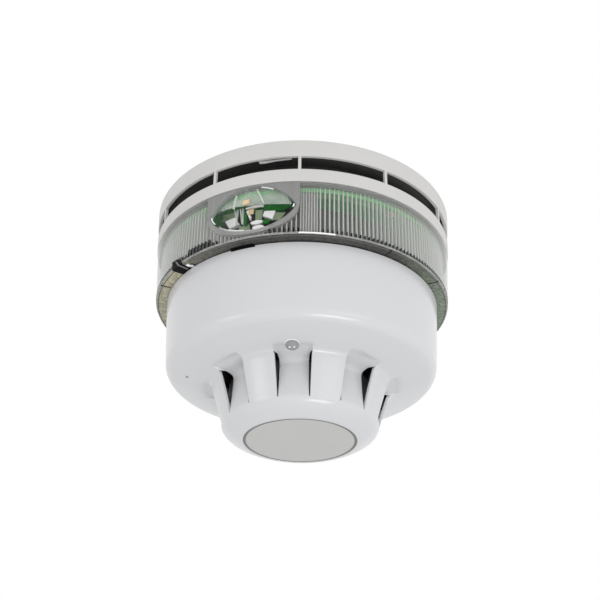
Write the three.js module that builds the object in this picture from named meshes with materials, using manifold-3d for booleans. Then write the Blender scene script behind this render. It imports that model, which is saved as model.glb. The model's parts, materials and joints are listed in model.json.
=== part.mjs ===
// Ceiling heat detector on a combined sounder and beacon base.
// Millimetres, +Z up. The origin is the centre of the face that meets the ceiling, and the unit
// hangs down from it. A bearing is an angle about Z, zero at -Y and growing towards +X.
import * as THREE from "three";
import { mergeVertices } from "three/addons/utils/BufferGeometryUtils.js";
import Module from "manifold-3d";

const wasm = await Module();
wasm.setup();

// ---------------------------------------------------------------- driving dimensions
const AROUND = 40; // facets round a large turned piece
const SEAT_GAP = 0.2; // clearance left where two pieces rest on each other

// Sounder housing: upper band, sound gap with struts, lower band
const HOUSING_RADIUS = 56.3;
const UPPER_BAND_BOTTOM = -6.7;
const LOWER_BAND_TOP = -12.0;
const LOWER_BAND_BOTTOM = -17.0;
const HOUSING_BORE = 53.4;
const GAP_BORE = 54.6; // the upper wall is thinner where the sound leaves
const GAP_CEILING = -3.4; // top of the recess behind the upper wall
const STRUT_COUNT = 11;
const STRUT_WIDTH = 1.1;
const STRUT_BEARING = -1.5;

// Ceiling plate and cable way
const PLATE_THICKNESS = 2.4;
const CABLE_ENTRY = { y: 24, plateRadius: 9, innerRadius: 6 };
const FIXING_SLOT = { spacing: 60, width: 4.4, length: 10 };

// Beacon: board, lens ring, oval window
const BOARD_TOP = -18.0;
const BOARD_THICKNESS = 1.6;
const LENS_TOP = -17.3;
const LENS_BOTTOM = -38.1;
const LENS_TOP_RADIUS = 55.5;
const LENS_BOTTOM_RADIUS = 54.6;
const LENS_FLANGE_BORE = 44.0;
const WINDOW_SPOKES = 32;
const WINDOW = { bearing: -19.2, height: -26.4, halfWidth: 15.9, halfHeight: 8.45 };
const BEACON_LED = { count: 6, radius: 50.4, bearing: -22.6, side: 2.2, height: 0.8 };
const LATCH_BEARING = -56;

// Bayonet socket and the head's lugs
const SOCKET_TOP = -19.8;
const SOCKET_FLOOR = -21.8;
const SOCKET_BOTTOM = -36.6;
const SOCKET_RADIUS = 43.0;
const SOCKET_BORE = 41.0;
const LUG_BEARINGS = [30, 150, 270];
const LUG_HALF_ANGLE = 8;
const LEDGE_HALF_ANGLE = 10;
const TERMINAL = { radius: 27, bearings: [45, 135, 225, 315] };
const SOCKET_SCREW = { radius: 34, bearings: [60, 180, 300] };
const SWITCH = { y: -15.5, ways: 4, pitch: 2.54 };

// Detector head
const HEAD_TOP = -38.4;
const HEAD_RADIUS = 50.6;
const CROWN_TOP = -31.0;
const NOSE_BOTTOM = -90.0;
const FLUTE = { count: 8, bearing: -5, halfAngle: 11.6, floorHalfAngle: 10.2 };
const FACE_DISC_RADIUS = 19.3;
const FACE_GROOVE_RADIUS = 20.05;
const HEAD_BOARD_TOP = -46.1;
const INDICATOR = { radius: 35, bearing: -5 };
const LOCK_SCREW = { radius: 41, bearing: -83 };
const HEAD_SCREW = { radius: 31, bearings: [75, 195, 315] };

// ---------------------------------------------------------------- finishes
const FINISH = {
  housing: { color: 0xd5d4d1, roughness: 0.5, metalness: 0 },
  head: { color: 0xdcdde0, roughness: 0.38, metalness: 0 },
  faceDisc: { color: 0xc0c0be, roughness: 0.45, metalness: 0 },
  inner: { color: 0xe4e2dc, roughness: 0.55, metalness: 0 },
  dark: { color: 0x3a3b3d, roughness: 0.6, metalness: 0 },
  clear: { color: 0xdfe5e0, roughness: 0.08, metalness: 0, transparent: true, opacity: 0.35 },
  board: { color: 0x2f8f45, roughness: 0.5, metalness: 0 },
  phosphor: { color: 0xf0d890, roughness: 0.4, metalness: 0 },
  reflector: { color: 0xf2f2f0, roughness: 0.3, metalness: 0 },
  steel: { color: 0xb9bbbd, roughness: 0.35, metalness: 1 },
  brass: { color: 0xc9a54c, roughness: 0.35, metalness: 1 },
  ceramic: { color: 0xe6dfd0, roughness: 0.6, metalness: 0 },
  black: { color: 0x161616, roughness: 0.5, metalness: 0 },
  red: { color: 0xb03028, roughness: 0.5, metalness: 0 },
  bead: { color: 0x2a2622, roughness: 0.4, metalness: 0 },
  translucent: { color: 0xb9babb, roughness: 0.25, metalness: 0 },
};

// ---------------------------------------------------------------- shape helpers
const radians = THREE.MathUtils.degToRad;

/** A manifold solid from a closed three.js geometry, with its faces turned outwards. */
function toSolid(geometry) {
  const bare = geometry.clone();
  bare.deleteAttribute("normal");
  bare.deleteAttribute("uv");
  const merged = mergeVertices(bare, 1e-4);
  const points = merged.attributes.position.array;
  const corners = merged.index.array;
  const a = new THREE.Vector3();
  const b = new THREE.Vector3();
  const c = new THREE.Vector3();
  const kept = [];
  let volume = 0;
  for (let i = 0; i < corners.length; i += 3) {
    const [p, q, r] = [corners[i], corners[i + 1], corners[i + 2]];
    if (p === q || q === r || r === p) continue;
    kept.push(p, q, r);
    volume += a.fromArray(points, 3 * p).dot(b.fromArray(points, 3 * q).cross(c.fromArray(points, 3 * r)));
  }
  if (volume < 0) kept.reverse();
  const mesh = { numProp: 3, vertProperties: new Float32Array(points), triVerts: new Uint32Array(kept) };
  return new wasm.Manifold(new wasm.Mesh(mesh));
}

/** A three.js geometry from a manifold solid. */
function toGeometry(solid) {
  const mesh = solid.getMesh();
  const geometry = new THREE.BufferGeometry();
  geometry.setAttribute("position", new THREE.BufferAttribute(mesh.vertProperties, 3));
  geometry.setIndex(new THREE.BufferAttribute(mesh.triVerts, 1));
  geometry.computeVertexNormals();
  return geometry;
}

const join = (...shapes) => toGeometry(shapes.map(toSolid).reduce((whole, next) => whole.add(next)));
const cut = (shape, ...tools) =>
  toGeometry(tools.map(toSolid).reduce((rest, tool) => rest.subtract(tool), toSolid(shape)));
const meet = (shape, other) => toGeometry(toSolid(shape).intersect(toSolid(other)));

/** A solid of revolution about Z from [radius, z] points; a profile off the axis closes on itself. */
function turned(profile, segments = AROUND) {
  const points = profile.map(([radius, z]) => new THREE.Vector2(radius, z));
  if (profile[0][0] > 0) points.push(points[0].clone());
  return new THREE.LatheGeometry(points, segments).rotateX(Math.PI / 2);
}

/** A curved block between two radii and two heights, centred on a bearing. */
function sector(inner, outer, top, bottom, bearing, halfAngle, steps = 4) {
  const from = radians(bearing - halfAngle - 90);
  const to = radians(bearing + halfAngle - 90);
  const shape = new THREE.Shape();
  shape.absarc(0, 0, outer, from, to, false);
  shape.absarc(0, 0, inner, to, from, true);
  const options = { depth: top - bottom, bevelEnabled: false, curveSegments: steps };
  return new THREE.ExtrudeGeometry(shape, options).translate(0, 0, bottom);
}

/** An upright round bar. */
function rod(radius, top, bottom, segments = 16) {
  const height = top - bottom;
  return new THREE.CylinderGeometry(radius, radius, height, segments)
    .rotateX(Math.PI / 2)
    .translate(0, 0, bottom + height / 2);
}

/** A block hanging from a height. */
function block(width, depth, top, bottom) {
  return new THREE.BoxGeometry(width, depth, top - bottom).translate(0, 0, (top + bottom) / 2);
}

/** The same shape carried out to a radius along a bearing and turned to face outwards. */
function outAt(geometry, radius, bearing) {
  return geometry.translate(0, -radius, 0).rotateZ(radians(bearing));
}

const ringOf = (places, make) => places.bearings.map((bearing) => outAt(make(), places.radius, bearing));

/** Adds one named piece to a group. */
function piece(group, name, geometry, finish) {
  const mesh = new THREE.Mesh(toGeometry(toSolid(geometry)), new THREE.MeshStandardMaterial(finish));
  mesh.name = name;
  group.add(mesh);
  return mesh;
}

// ---------------------------------------------------------------- sounder housing
function sounderHousing() {
  const shell = turned([
    [HOUSING_BORE, 0],
    [HOUSING_RADIUS, 0],
    [HOUSING_RADIUS - 0.3, UPPER_BAND_BOTTOM],
    [HOUSING_RADIUS - 0.4, LOWER_BAND_TOP],
    [HOUSING_RADIUS - 0.6, LOWER_BAND_BOTTOM],
    [48.5, LOWER_BAND_BOTTOM],
    [48.5, LOWER_BAND_BOTTOM + 2],
    [HOUSING_BORE, LOWER_BAND_BOTTOM + 2],
    [HOUSING_BORE, LOWER_BAND_TOP],
    [GAP_BORE, LOWER_BAND_TOP],
    [GAP_BORE, GAP_CEILING],
    [HOUSING_BORE, GAP_CEILING],
  ]);
  const pitch = 360 / STRUT_COUNT;
  const strutHalfAngle = THREE.MathUtils.radToDeg(STRUT_WIDTH / 2 / HOUSING_RADIUS);
  const windows = [];
  for (let i = 0; i < STRUT_COUNT; i += 1) {
    const bearing = STRUT_BEARING + (i + 0.5) * pitch;
    const halfAngle = pitch / 2 - strutHalfAngle;
    windows.push(sector(50, 60, UPPER_BAND_BOTTOM, LOWER_BAND_TOP, bearing, halfAngle, 6));
  }
  return cut(shell, ...windows);
}

// ---------------------------------------------------------------- ceiling plate
function fixingSlot(side) {
  const ends = [-1, 1].map((end) => {
    const reach = (end * (FIXING_SLOT.length - FIXING_SLOT.width)) / 2;
    return rod(FIXING_SLOT.width / 2, 1, -PLATE_THICKNESS - 1).translate(0, reach, 0);
  });
  const middle = block(FIXING_SLOT.width, FIXING_SLOT.length - FIXING_SLOT.width, 1, -PLATE_THICKNESS - 1);
  return join(middle, ...ends).translate((side * FIXING_SLOT.spacing) / 2, 0, 0);
}

function ceilingPlate() {
  const edge = HOUSING_BORE - 0.4;
  const disc = turned([[0, 0], [edge, 0], [edge, -PLATE_THICKNESS], [0, -PLATE_THICKNESS]]);
  const entry = rod(CABLE_ENTRY.plateRadius, 1, -PLATE_THICKNESS - 1, 24).translate(0, CABLE_ENTRY.y, 0);
  return cut(disc, entry, fixingSlot(-1), fixingSlot(1));
}

// ---------------------------------------------------------------- sounder works
const innerCableWay = (top, bottom) =>
  rod(CABLE_ENTRY.innerRadius, top, bottom, 20).translate(0, CABLE_ENTRY.y, 0);

function soundChamber() {
  const drum = turned([
    [0, -13.0],
    [43.7, -13.0],
    [43.7, -2.6],
    [45.5, -2.6],
    [45.5, -12.4],
    [47.6, -14.6],
    [0, -14.6],
  ]);
  const bosses = ringOf(SOCKET_SCREW, () => rod(3.5, -14, BOARD_TOP + SEAT_GAP));
  const holes = ringOf(SOCKET_SCREW, () => rod(1.6, -11, -19, 12));
  return cut(join(drum, ...bosses), innerCableWay(-10, -17), ...holes);
}

function piezoCarrier() {
  return turned([[13.8, -5.0], [15.4, -5.0], [15.4, -12.8], [12.4, -12.8], [12.4, -9.0], [13.8, -9.0]], 32);
}

// ---------------------------------------------------------------- beacon
function beaconBoard() {
  const bottom = BOARD_TOP - BOARD_THICKNESS;
  const disc = turned([[0, BOARD_TOP], [53, BOARD_TOP], [53, bottom], [0, bottom]]);
  const holes = ringOf(SOCKET_SCREW, () => rod(1.8, BOARD_TOP + 1, bottom - 1, 12));
  return cut(disc, innerCableWay(BOARD_TOP + 1, bottom - 1), ...holes);
}

/** An upright oval bar that runs outwards along the window's bearing. */
/** A point on the window's edge: an oval whose two ends draw in towards points. */
function windowEdge(turn) {
  const rise = Math.sin(turn) * Math.abs(Math.sin(turn)) ** 0.44;
  return [WINDOW.halfWidth * Math.cos(turn), WINDOW.halfHeight * rise];
}

function windowBar(margin) {
  const outline = [];
  for (let spoke = 0; spoke < WINDOW_SPOKES; spoke += 1) {
    const [across, up] = windowEdge((2 * Math.PI * spoke) / WINDOW_SPOKES);
    const [wider, higher] = [1 + margin / WINDOW.halfWidth, 1 + margin / WINDOW.halfHeight];
    outline.push(new THREE.Vector2(across * wider, up * higher));
  }
  const bar = new THREE.ExtrudeGeometry(new THREE.Shape(outline), { depth: 70, bevelEnabled: false });
  return bar.rotateX(Math.PI / 2).translate(0, 0, WINDOW.height).rotateZ(radians(WINDOW.bearing));
}

/** The oval window: a shell that follows the ring's curve and swells slightly in the middle. */
function beaconDome() {
  const [rings, spokes, seat, swell, wall] = [5, WINDOW_SPOKES, 54.7, 1.3, 1.7];
  const points = [];
  const faces = [];
  for (const depth of [0, wall]) {
    for (let ring = 0; ring <= rings; ring += 1) {
      for (let spoke = 0; spoke < spokes; spoke += 1) {
        const reach = ring / rings;
        const [across, up] = windowEdge((2 * Math.PI * spoke) / spokes).map((part) => part * reach);
        const out = Math.sqrt((seat - depth) ** 2 - across ** 2) + swell * (1 - reach ** 2);
        points.push(across, -out, up);
      }
    }
  }
  const side = (rings + 1) * spokes;
  const at = (layer, ring, spoke) => layer * side + ring * spokes + (spoke % spokes);
  for (let spoke = 0; spoke < spokes; spoke += 1) {
    for (let ring = 0; ring < rings; ring += 1) {
      const [here, next] = [spoke, spoke + 1];
      const outer = [at(0, ring, here), at(0, ring + 1, here), at(0, ring + 1, next), at(0, ring, next)];
      const inner = outer.map((index) => index + side);
      faces.push(outer[0], outer[1], outer[2], outer[0], outer[2], outer[3]);
      faces.push(inner[0], inner[2], inner[1], inner[0], inner[3], inner[2]);
    }
    const [a, b] = [at(0, rings, spoke), at(0, rings, spoke + 1)];
    faces.push(a, a + side, b + side, a, b + side, b);
  }
  const dome = new THREE.BufferGeometry();
  dome.setAttribute("position", new THREE.Float32BufferAttribute(points, 3));
  dome.setIndex(faces);
  return dome.translate(0, 0, WINDOW.height).rotateZ(radians(WINDOW.bearing));
}

function lensRing() {
  const wall = 2.1;
  const ring = turned([
    [LENS_TOP_RADIUS, LENS_TOP],
    [LENS_BOTTOM_RADIUS, LENS_BOTTOM + 0.6],
    [LENS_BOTTOM_RADIUS - 0.4, LENS_BOTTOM],
    [LENS_FLANGE_BORE, LENS_BOTTOM],
    [LENS_FLANGE_BORE, LENS_BOTTOM + 1.2],
    [LENS_BOTTOM_RADIUS - wall, LENS_BOTTOM + 1.2],
    [LENS_TOP_RADIUS - wall, LENS_TOP],
  ]);
  const latchDoor = sector(50, 58, -33.8, -40, LATCH_BEARING, 4.1);
  const latchWell = sector(46, 52.4, -36, -40, LATCH_BEARING + 2.4, 6.6);
  const edgeSlot = sector(49, 51, -36, -40, -25.6, 6);
  return cut(ring, windowBar(0.3), latchDoor, latchWell, edgeSlot);
}

/** White faceted block below the window's light source. */
function beaconReflector() {
  const outline = [[-10, 43.4], [-8.5, 49], [-4, 45.5], [0, 49.6], [4, 45.5], [8.5, 49], [10, 43.4]];
  const shape = new THREE.Shape(outline.map(([across, out]) => new THREE.Vector2(across, -out)));
  const prism = new THREE.ExtrudeGeometry(shape, { depth: 4.5, bevelEnabled: false });
  const wall = rod(SOCKET_RADIUS + 0.3, -28, -36, AROUND);
  return cut(prism.translate(0, 0, -34.5).rotateZ(radians(WINDOW.bearing)), wall);
}

function releaseLatch() {
  const arm = sector(47.6, 52.1, -34.2, -37.7, LATCH_BEARING + 2.4, 6);
  const nose = sector(51.5, 54.0, -34.2, -37.7, LATCH_BEARING, 3.6);
  return join(arm, nose);
}

// ---------------------------------------------------------------- bayonet socket
function detectorSocket() {
  const cup = turned([
    [0, SOCKET_TOP],
    [SOCKET_RADIUS, SOCKET_TOP],
    [SOCKET_RADIUS, SOCKET_BOTTOM],
    [SOCKET_BORE, SOCKET_BOTTOM],
    [SOCKET_BORE, SOCKET_FLOOR],
    [0, SOCKET_FLOOR],
  ]);
  const ledges = LUG_BEARINGS.map((bearing) => sector(38.3, 41.6, -34, -36, bearing, LEDGE_HALF_ANGLE));
  const stops = LUG_BEARINGS.map((bearing) => sector(38.3, 41.6, -30, -36, bearing + LEDGE_HALF_ANGLE, 1.2));
  const holes = ringOf(SOCKET_SCREW, () => rod(1.8, SOCKET_TOP + 1, SOCKET_FLOOR - 1, 12));
  return cut(join(cup, ...ledges, ...stops), innerCableWay(SOCKET_TOP + 1, SOCKET_FLOOR - 1), ...holes);
}

/** A slotted or plain screw that hangs head down. */
function screw(shankRadius, shankTop, headRadius, headTop, headBottom) {
  const shank = rod(shankRadius, shankTop, headTop - 0.5, 10);
  const slot = block(2 * headRadius + 1, 0.9, headBottom + 0.8, headBottom - 1);
  return cut(join(shank, rod(headRadius, headTop, headBottom, 18)), slot);
}

/** A bent spring strip: foot on the socket floor, leg, and a contact toe. */
function terminalClip() {
  const outline = [
    [-4.5, -22.0], [3.2, -22.0], [5.0, -29.4], [7.6, -29.4],
    [7.6, -30.1], [4.4, -30.1], [2.6, -22.7], [-4.5, -22.7],
  ];
  const shape = new THREE.Shape(outline.map(([across, z]) => new THREE.Vector2(across, z)));
  const strip = new THREE.ExtrudeGeometry(shape, { depth: 5, bevelEnabled: false });
  return strip.rotateX(Math.PI / 2).translate(0, 2.5, 0);
}

const switchWay = (way) => (way - (SWITCH.ways - 1) / 2) * SWITCH.pitch;

function addressSwitch() {
  const wells = Array.from({ length: SWITCH.ways }, (_, way) =>
    block(1.5, 3.8, -23.6, -26).translate(switchWay(way), SWITCH.y, 0));
  const body = block(SWITCH.ways * SWITCH.pitch + 2, 6.2, -22, -25).translate(0, SWITCH.y, 0);
  return cut(body, ...wells);
}

// ---------------------------------------------------------------- detector head
function rimArc() {
  const rim = new THREE.EllipseCurve(45.3, -62.6, 4, 4, 0, radians(-76), true);
  return rim.getPoints(3).map((point) => [point.x, point.y]);
}

function noseArc() {
  const start = new THREE.Vector2(28.3, -84.3);
  const bend = new THREE.Vector2(27.6, -87.6);
  const end = new THREE.Vector2(20.9, NOSE_BOTTOM);
  return new THREE.QuadraticBezierCurve(start, bend, end).getPoints(3).map((point) => [point.x, point.y]);
}

/** Keeps the part of a coarsely turned profile that lies within a flute's width. */
function fluteSlice(profile, halfAngle) {
  return meet(turned(profile, 30), sector(20, 48, -60, -92, 0, halfAngle));
}

function headCover() {
  const shell = turned([
    [HEAD_RADIUS, HEAD_TOP], [50, -50],
    ...rimArc(),
    [33, -69.8], [30.1, -78],
    ...noseArc(),
    [FACE_GROOVE_RADIUS, NOSE_BOTTOM], [FACE_GROOVE_RADIUS, -88.1], [18, -88.1], [18, -86.6],
    [23.6, -86.4], [26.4, -83.8], [31, -68.4], [45.6, -64.7], [47.3, -62.6], [48.5, HEAD_TOP],
  ]);
  const hollow = [[27.3, -70.9], [37, -69], [40, -75], [34, -88], [28, -84.9]];
  const floor = [
    [37, -69], [27.3, -70.9], [28, -84.9], [27, -86.2], [25.4, -85], [25.6, -69.6], [31.5, -68], [37, -67.1],
  ];
  const pitch = 360 / FLUTE.count;
  const turns = Array.from({ length: FLUTE.count }, (_, i) => radians(FLUTE.bearing + i * pitch));
  const hollows = turns.map((turn) => fluteSlice(hollow, FLUTE.halfAngle).rotateZ(turn));
  const floors = turns.map((turn) => fluteSlice(floor, FLUTE.floorHalfAngle).rotateZ(turn));
  const indicatorHole = outAt(rod(2.7, -60, -75, 20), INDICATOR.radius, INDICATOR.bearing);
  const keyHole = outAt(rod(0.75, -60, -75, 12), LOCK_SCREW.radius, LOCK_SCREW.bearing);
  return cut(join(cut(shell, ...hollows), ...floors), indicatorHole, keyHole);
}

function headChassis() {
  const hat = turned([
    [0, CROWN_TOP], [37.9, CROWN_TOP], [37.9, -39.5], [48, -39.5],
    [48, -41.5], [36, -41.5], [36, -32.8], [0, -32.8],
  ]);
  const lugs = LUG_BEARINGS.map((bearing) => sector(37.4, 40.6, CROWN_TOP, -33.7, bearing, LUG_HALF_ANGLE));
  const posts = ringOf(HEAD_SCREW, () => rod(3, -32, HEAD_BOARD_TOP + SEAT_GAP));
  const boss = outAt(rod(3.2, -41, -45), LOCK_SCREW.radius, LOCK_SCREW.bearing);
  const holes = ringOf(HEAD_SCREW, () => rod(1.5, -38, -48, 12));
  const lockHole = outAt(rod(1.75, -38, -46, 12), LOCK_SCREW.radius, LOCK_SCREW.bearing);
  return cut(join(hat, boss, ...lugs, ...posts), lockHole, ...holes);
}

function headBoard() {
  const bottom = HEAD_BOARD_TOP - BOARD_THICKNESS;
  const disc = turned([[0, HEAD_BOARD_TOP], [38.2, HEAD_BOARD_TOP], [38.2, bottom], [0, bottom]], 32);
  return cut(disc, ...ringOf(HEAD_SCREW, () => rod(1.8, HEAD_BOARD_TOP + 1, bottom - 1, 12)));
}

function indicatorLens() {
  const dome = new THREE.EllipseCurve(0, -69.3, 2.35, 2.0, 0, -Math.PI / 2, true);
  const round = dome.getPoints(5).map((point) => [Math.max(point.x, 0), point.y]);
  round[round.length - 1][0] = 0;
  return turned([[0, -49.6], [1.6, -49.6], [1.6, -66], [2.35, -67], ...round], 20);
}

function lockScrew() {
  const key = new THREE.CylinderGeometry(0.75, 0.75, 2, 6).rotateX(Math.PI / 2).translate(0, 0, -43.7);
  return cut(rod(1.45, -37.2, -43.9, 16), key);
}

const heatBaffle = () =>
  turned([[27, -47.9], [27, -49.2], [24.4, -49.2], [22.7, -83.5], [21.7, -83.5], [23.2, -47.9]], 24);

// ---------------------------------------------------------------- assembly
const detector = new THREE.Group();
const base = new THREE.Group();
const head = new THREE.Group();
detector.add(base, head);

piece(base, "ceiling_plate", ceilingPlate(), FINISH.inner);
piece(base, "sounder_housing", sounderHousing(), FINISH.housing);
piece(base, "sound_chamber", soundChamber(), FINISH.dark);
piece(base, "piezo_carrier", piezoCarrier(), FINISH.dark);
piece(base, "piezo_disc", rod(13.5, -8.2, -8.7, 32), FINISH.brass);
piece(base, "piezo_ceramic", rod(9, -8.9, -9.3, 24), FINISH.ceramic);
piece(base, "beacon_board", beaconBoard(), FINISH.board);
piece(base, "beacon_reflector", beaconReflector(), FINISH.reflector);
piece(base, "beacon_dome", beaconDome(), FINISH.clear);
piece(base, "lens_ring", lensRing(), FINISH.clear);
piece(base, "detector_socket", detectorSocket(), FINISH.inner);
piece(base, "address_switch", addressSwitch(), FINISH.red);

const componentTop = BOARD_TOP - BOARD_THICKNESS - SEAT_GAP;
for (let i = 0; i < BEACON_LED.count; i += 1) {
  const chip = block(BEACON_LED.side, BEACON_LED.side, componentTop, componentTop - BEACON_LED.height);
  const bearing = BEACON_LED.bearing + (i * 360) / BEACON_LED.count;
  piece(base, `beacon_led_${i + 1}`, outAt(chip, BEACON_LED.radius, bearing), FINISH.phosphor);
}
piece(base, "flash_capacitor", outAt(rod(2.6, componentTop, -28), 48.3, 140), FINISH.black);
piece(base, "driver_inductor", outAt(rod(3, componentTop, -26), 48.2, 192), FINISH.dark);

TERMINAL.bearings.forEach((bearing, i) => {
  const clamp = screw(1.3, -22.9, 2.4, -22.9, -25.2).translate(-2.2, 0, 0);
  piece(base, `terminal_clip_${i + 1}`, outAt(terminalClip(), TERMINAL.radius, bearing), FINISH.brass);
  piece(base, `terminal_screw_${i + 1}`, outAt(clamp, TERMINAL.radius, bearing), FINISH.steel);
});
SOCKET_SCREW.bearings.forEach((bearing, i) => {
  const long = screw(1.3, -13, 2.8, SOCKET_FLOOR - SEAT_GAP, -24);
  piece(base, `socket_screw_${i + 1}`, outAt(long, SOCKET_SCREW.radius, bearing), FINISH.steel);
});

const latch = new THREE.Group();
base.add(latch);
piece(latch, "release_latch", releaseLatch(), FINISH.black);
piece(latch, "latch_pin", outAt(rod(0.8, -37.8, -38.3, 12), 51.2, LATCH_BEARING + 6.8), FINISH.inner);

for (let way = 0; way < SWITCH.ways; way += 1) {
  const slider = piece(base, `address_slider_${way + 1}`, block(1.1, 1.3, -23.9, -25.4), FINISH.inner);
  slider.position.set(switchWay(way), SWITCH.y - 1, 0);
}

piece(head, "head_cover", headCover(), FINISH.head);
const faceDisc = rod(FACE_DISC_RADIUS, -88.3, NOSE_BOTTOM, AROUND);
piece(head, "face_disc", faceDisc, FINISH.faceDisc);
piece(head, "head_chassis", headChassis(), FINISH.inner);
piece(head, "head_board", headBoard(), FINISH.board);
piece(head, "heat_baffle", heatBaffle(), FINISH.dark);
const postTube = turned([[3.2, -47.9], [3.2, -72], [2.1, -72], [2.1, -47.9]], 20);
piece(head, "thermistor_post", postTube, FINISH.inner);
piece(head, "thermistor_bead", new THREE.SphereGeometry(1.7, 14, 10).translate(0, 0, -80.4), FINISH.bead);
[-1, 1].forEach((side, i) => {
  piece(head, `thermistor_lead_${i + 1}`, rod(0.3, -47.9, -79, 8).translate(side * 1.2, 0, 0), FINISH.steel);
});
const chipTop = HEAD_BOARD_TOP - BOARD_THICKNESS - SEAT_GAP;
piece(head, "sensing_chip", block(7, 7, chipTop, chipTop - 1.4).translate(12, 8, 0), FINISH.black);
piece(head, "indicator_led", outAt(rod(1.6, chipTop, -49.2), INDICATOR.radius, INDICATOR.bearing),
  FINISH.ceramic);
const lightPipe = outAt(indicatorLens(), INDICATOR.radius, INDICATOR.bearing);
piece(head, "indicator_lens", lightPipe, FINISH.translucent);
HEAD_SCREW.bearings.forEach((bearing, i) => {
  const short = screw(1.2, -40, 2.6, chipTop, -49.6);
  piece(head, `board_screw_${i + 1}`, outAt(short, HEAD_SCREW.radius, bearing), FINISH.steel);
});
TERMINAL.bearings.forEach((bearing, i) => {
  const pad = block(7, 4.5, -30.4, CROWN_TOP + SEAT_GAP).translate(5.5, 0, 0);
  piece(head, `contact_pad_${i + 1}`, outAt(pad, TERMINAL.radius, bearing), FINISH.brass);
});

const lock = piece(head, "lock_screw", lockScrew(), FINISH.steel);
const lockBearing = radians(LOCK_SCREW.bearing);
lock.position.set(LOCK_SCREW.radius * Math.sin(lockBearing), -LOCK_SCREW.radius * Math.cos(lockBearing), 0);

export default detector;
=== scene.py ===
"""Looks of a ceiling heat detector on a sounder beacon base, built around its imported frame."""
import json
import logging
import math
from dataclasses import dataclass, field
from enum import Enum
from functools import cache

import bmesh
import bpy
from mathutils import Matrix, Vector


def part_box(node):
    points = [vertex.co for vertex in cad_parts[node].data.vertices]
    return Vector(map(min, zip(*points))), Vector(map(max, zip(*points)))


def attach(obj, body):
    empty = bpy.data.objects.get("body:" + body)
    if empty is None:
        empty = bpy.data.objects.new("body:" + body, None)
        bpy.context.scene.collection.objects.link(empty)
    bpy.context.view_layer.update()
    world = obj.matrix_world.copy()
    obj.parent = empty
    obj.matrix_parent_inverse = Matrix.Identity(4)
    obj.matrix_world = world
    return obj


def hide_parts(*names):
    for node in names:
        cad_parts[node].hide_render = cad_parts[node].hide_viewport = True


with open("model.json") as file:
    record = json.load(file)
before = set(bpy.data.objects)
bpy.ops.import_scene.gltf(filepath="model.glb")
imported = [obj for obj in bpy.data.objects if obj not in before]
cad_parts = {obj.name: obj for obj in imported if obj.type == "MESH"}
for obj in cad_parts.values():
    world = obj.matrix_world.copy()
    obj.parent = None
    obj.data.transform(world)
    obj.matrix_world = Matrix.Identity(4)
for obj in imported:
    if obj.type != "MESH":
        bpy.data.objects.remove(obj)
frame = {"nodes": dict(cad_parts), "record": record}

LOG = logging.getLogger("detector")
MM = 0.001
TURN = 2 * math.pi
NOISE_SPAN = (0.3, 0.7)     # nearly all of a noise pattern's values lie in here
MERGE_DISTANCE = 1e-7       # metres
TINY = 1e-6
SHARP_ANGLE = 35
BEVEL_ANGLE = 40
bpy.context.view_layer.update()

Point = tuple[float, float, float]
Outline = list[tuple[float, float]]
Piece = bpy.types.Object
Socket = bpy.types.NodeSocket


class Body(Enum):
    """The rigid bodies that new pieces ride on."""

    BASE = "base"
    HEAD = "head"
    LATCH = "latch"


class Slot(Enum):
    """The record's material slots, by name."""

    HOUSING = "housing_plastic"
    HEAD = "head_plastic"
    FACE = "face_disc"
    INNER = "inner_plastic"
    DARK = "dark_plastic"
    CLEAR = "clear_lens"
    BOARD = "board"
    REFLECTOR = "reflector"
    PHOSPHOR = "phosphor"
    BLACK = "black_plastic"
    TRANSLUCENT = "translucent"


# ------------------------------------------------------------------ finishes
class Wiring:
    """A node tree while it is being wired."""

    def __init__(self, tree: bpy.types.NodeTree) -> None:
        """Takes the tree."""
        self.tree = tree

    def give(self, socket: Socket, value: object) -> None:
        """Gives a socket its value.

        Args:
            socket: the socket that gets the value.
            value: a socket to link from, or a constant.
        """
        if isinstance(value, Socket):
            self.tree.links.new(value, socket)
        else:
            socket.default_value = value

    def node(self, kind: str, inputs: dict | None = None, **settings: object) -> bpy.types.Node:
        """Adds a node.

        Args:
            kind: the node's full type name.
            inputs: constants or sources for its inputs, by name or place.
            settings: attributes to set on it.

        Returns:
            The new node.
        """
        made = self.tree.nodes.new(kind)
        for key, value in settings.items():
            setattr(made, key, value)
        for key, value in (inputs or {}).items():
            self.give(made.inputs[key], value)
        return made

    def calc(self, operation: str, *parts: Socket | float) -> Socket:
        """The result of a sum of sockets or numbers."""
        return self.node("ShaderNodeMath", dict(enumerate(parts)), operation=operation).outputs[0]


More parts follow.
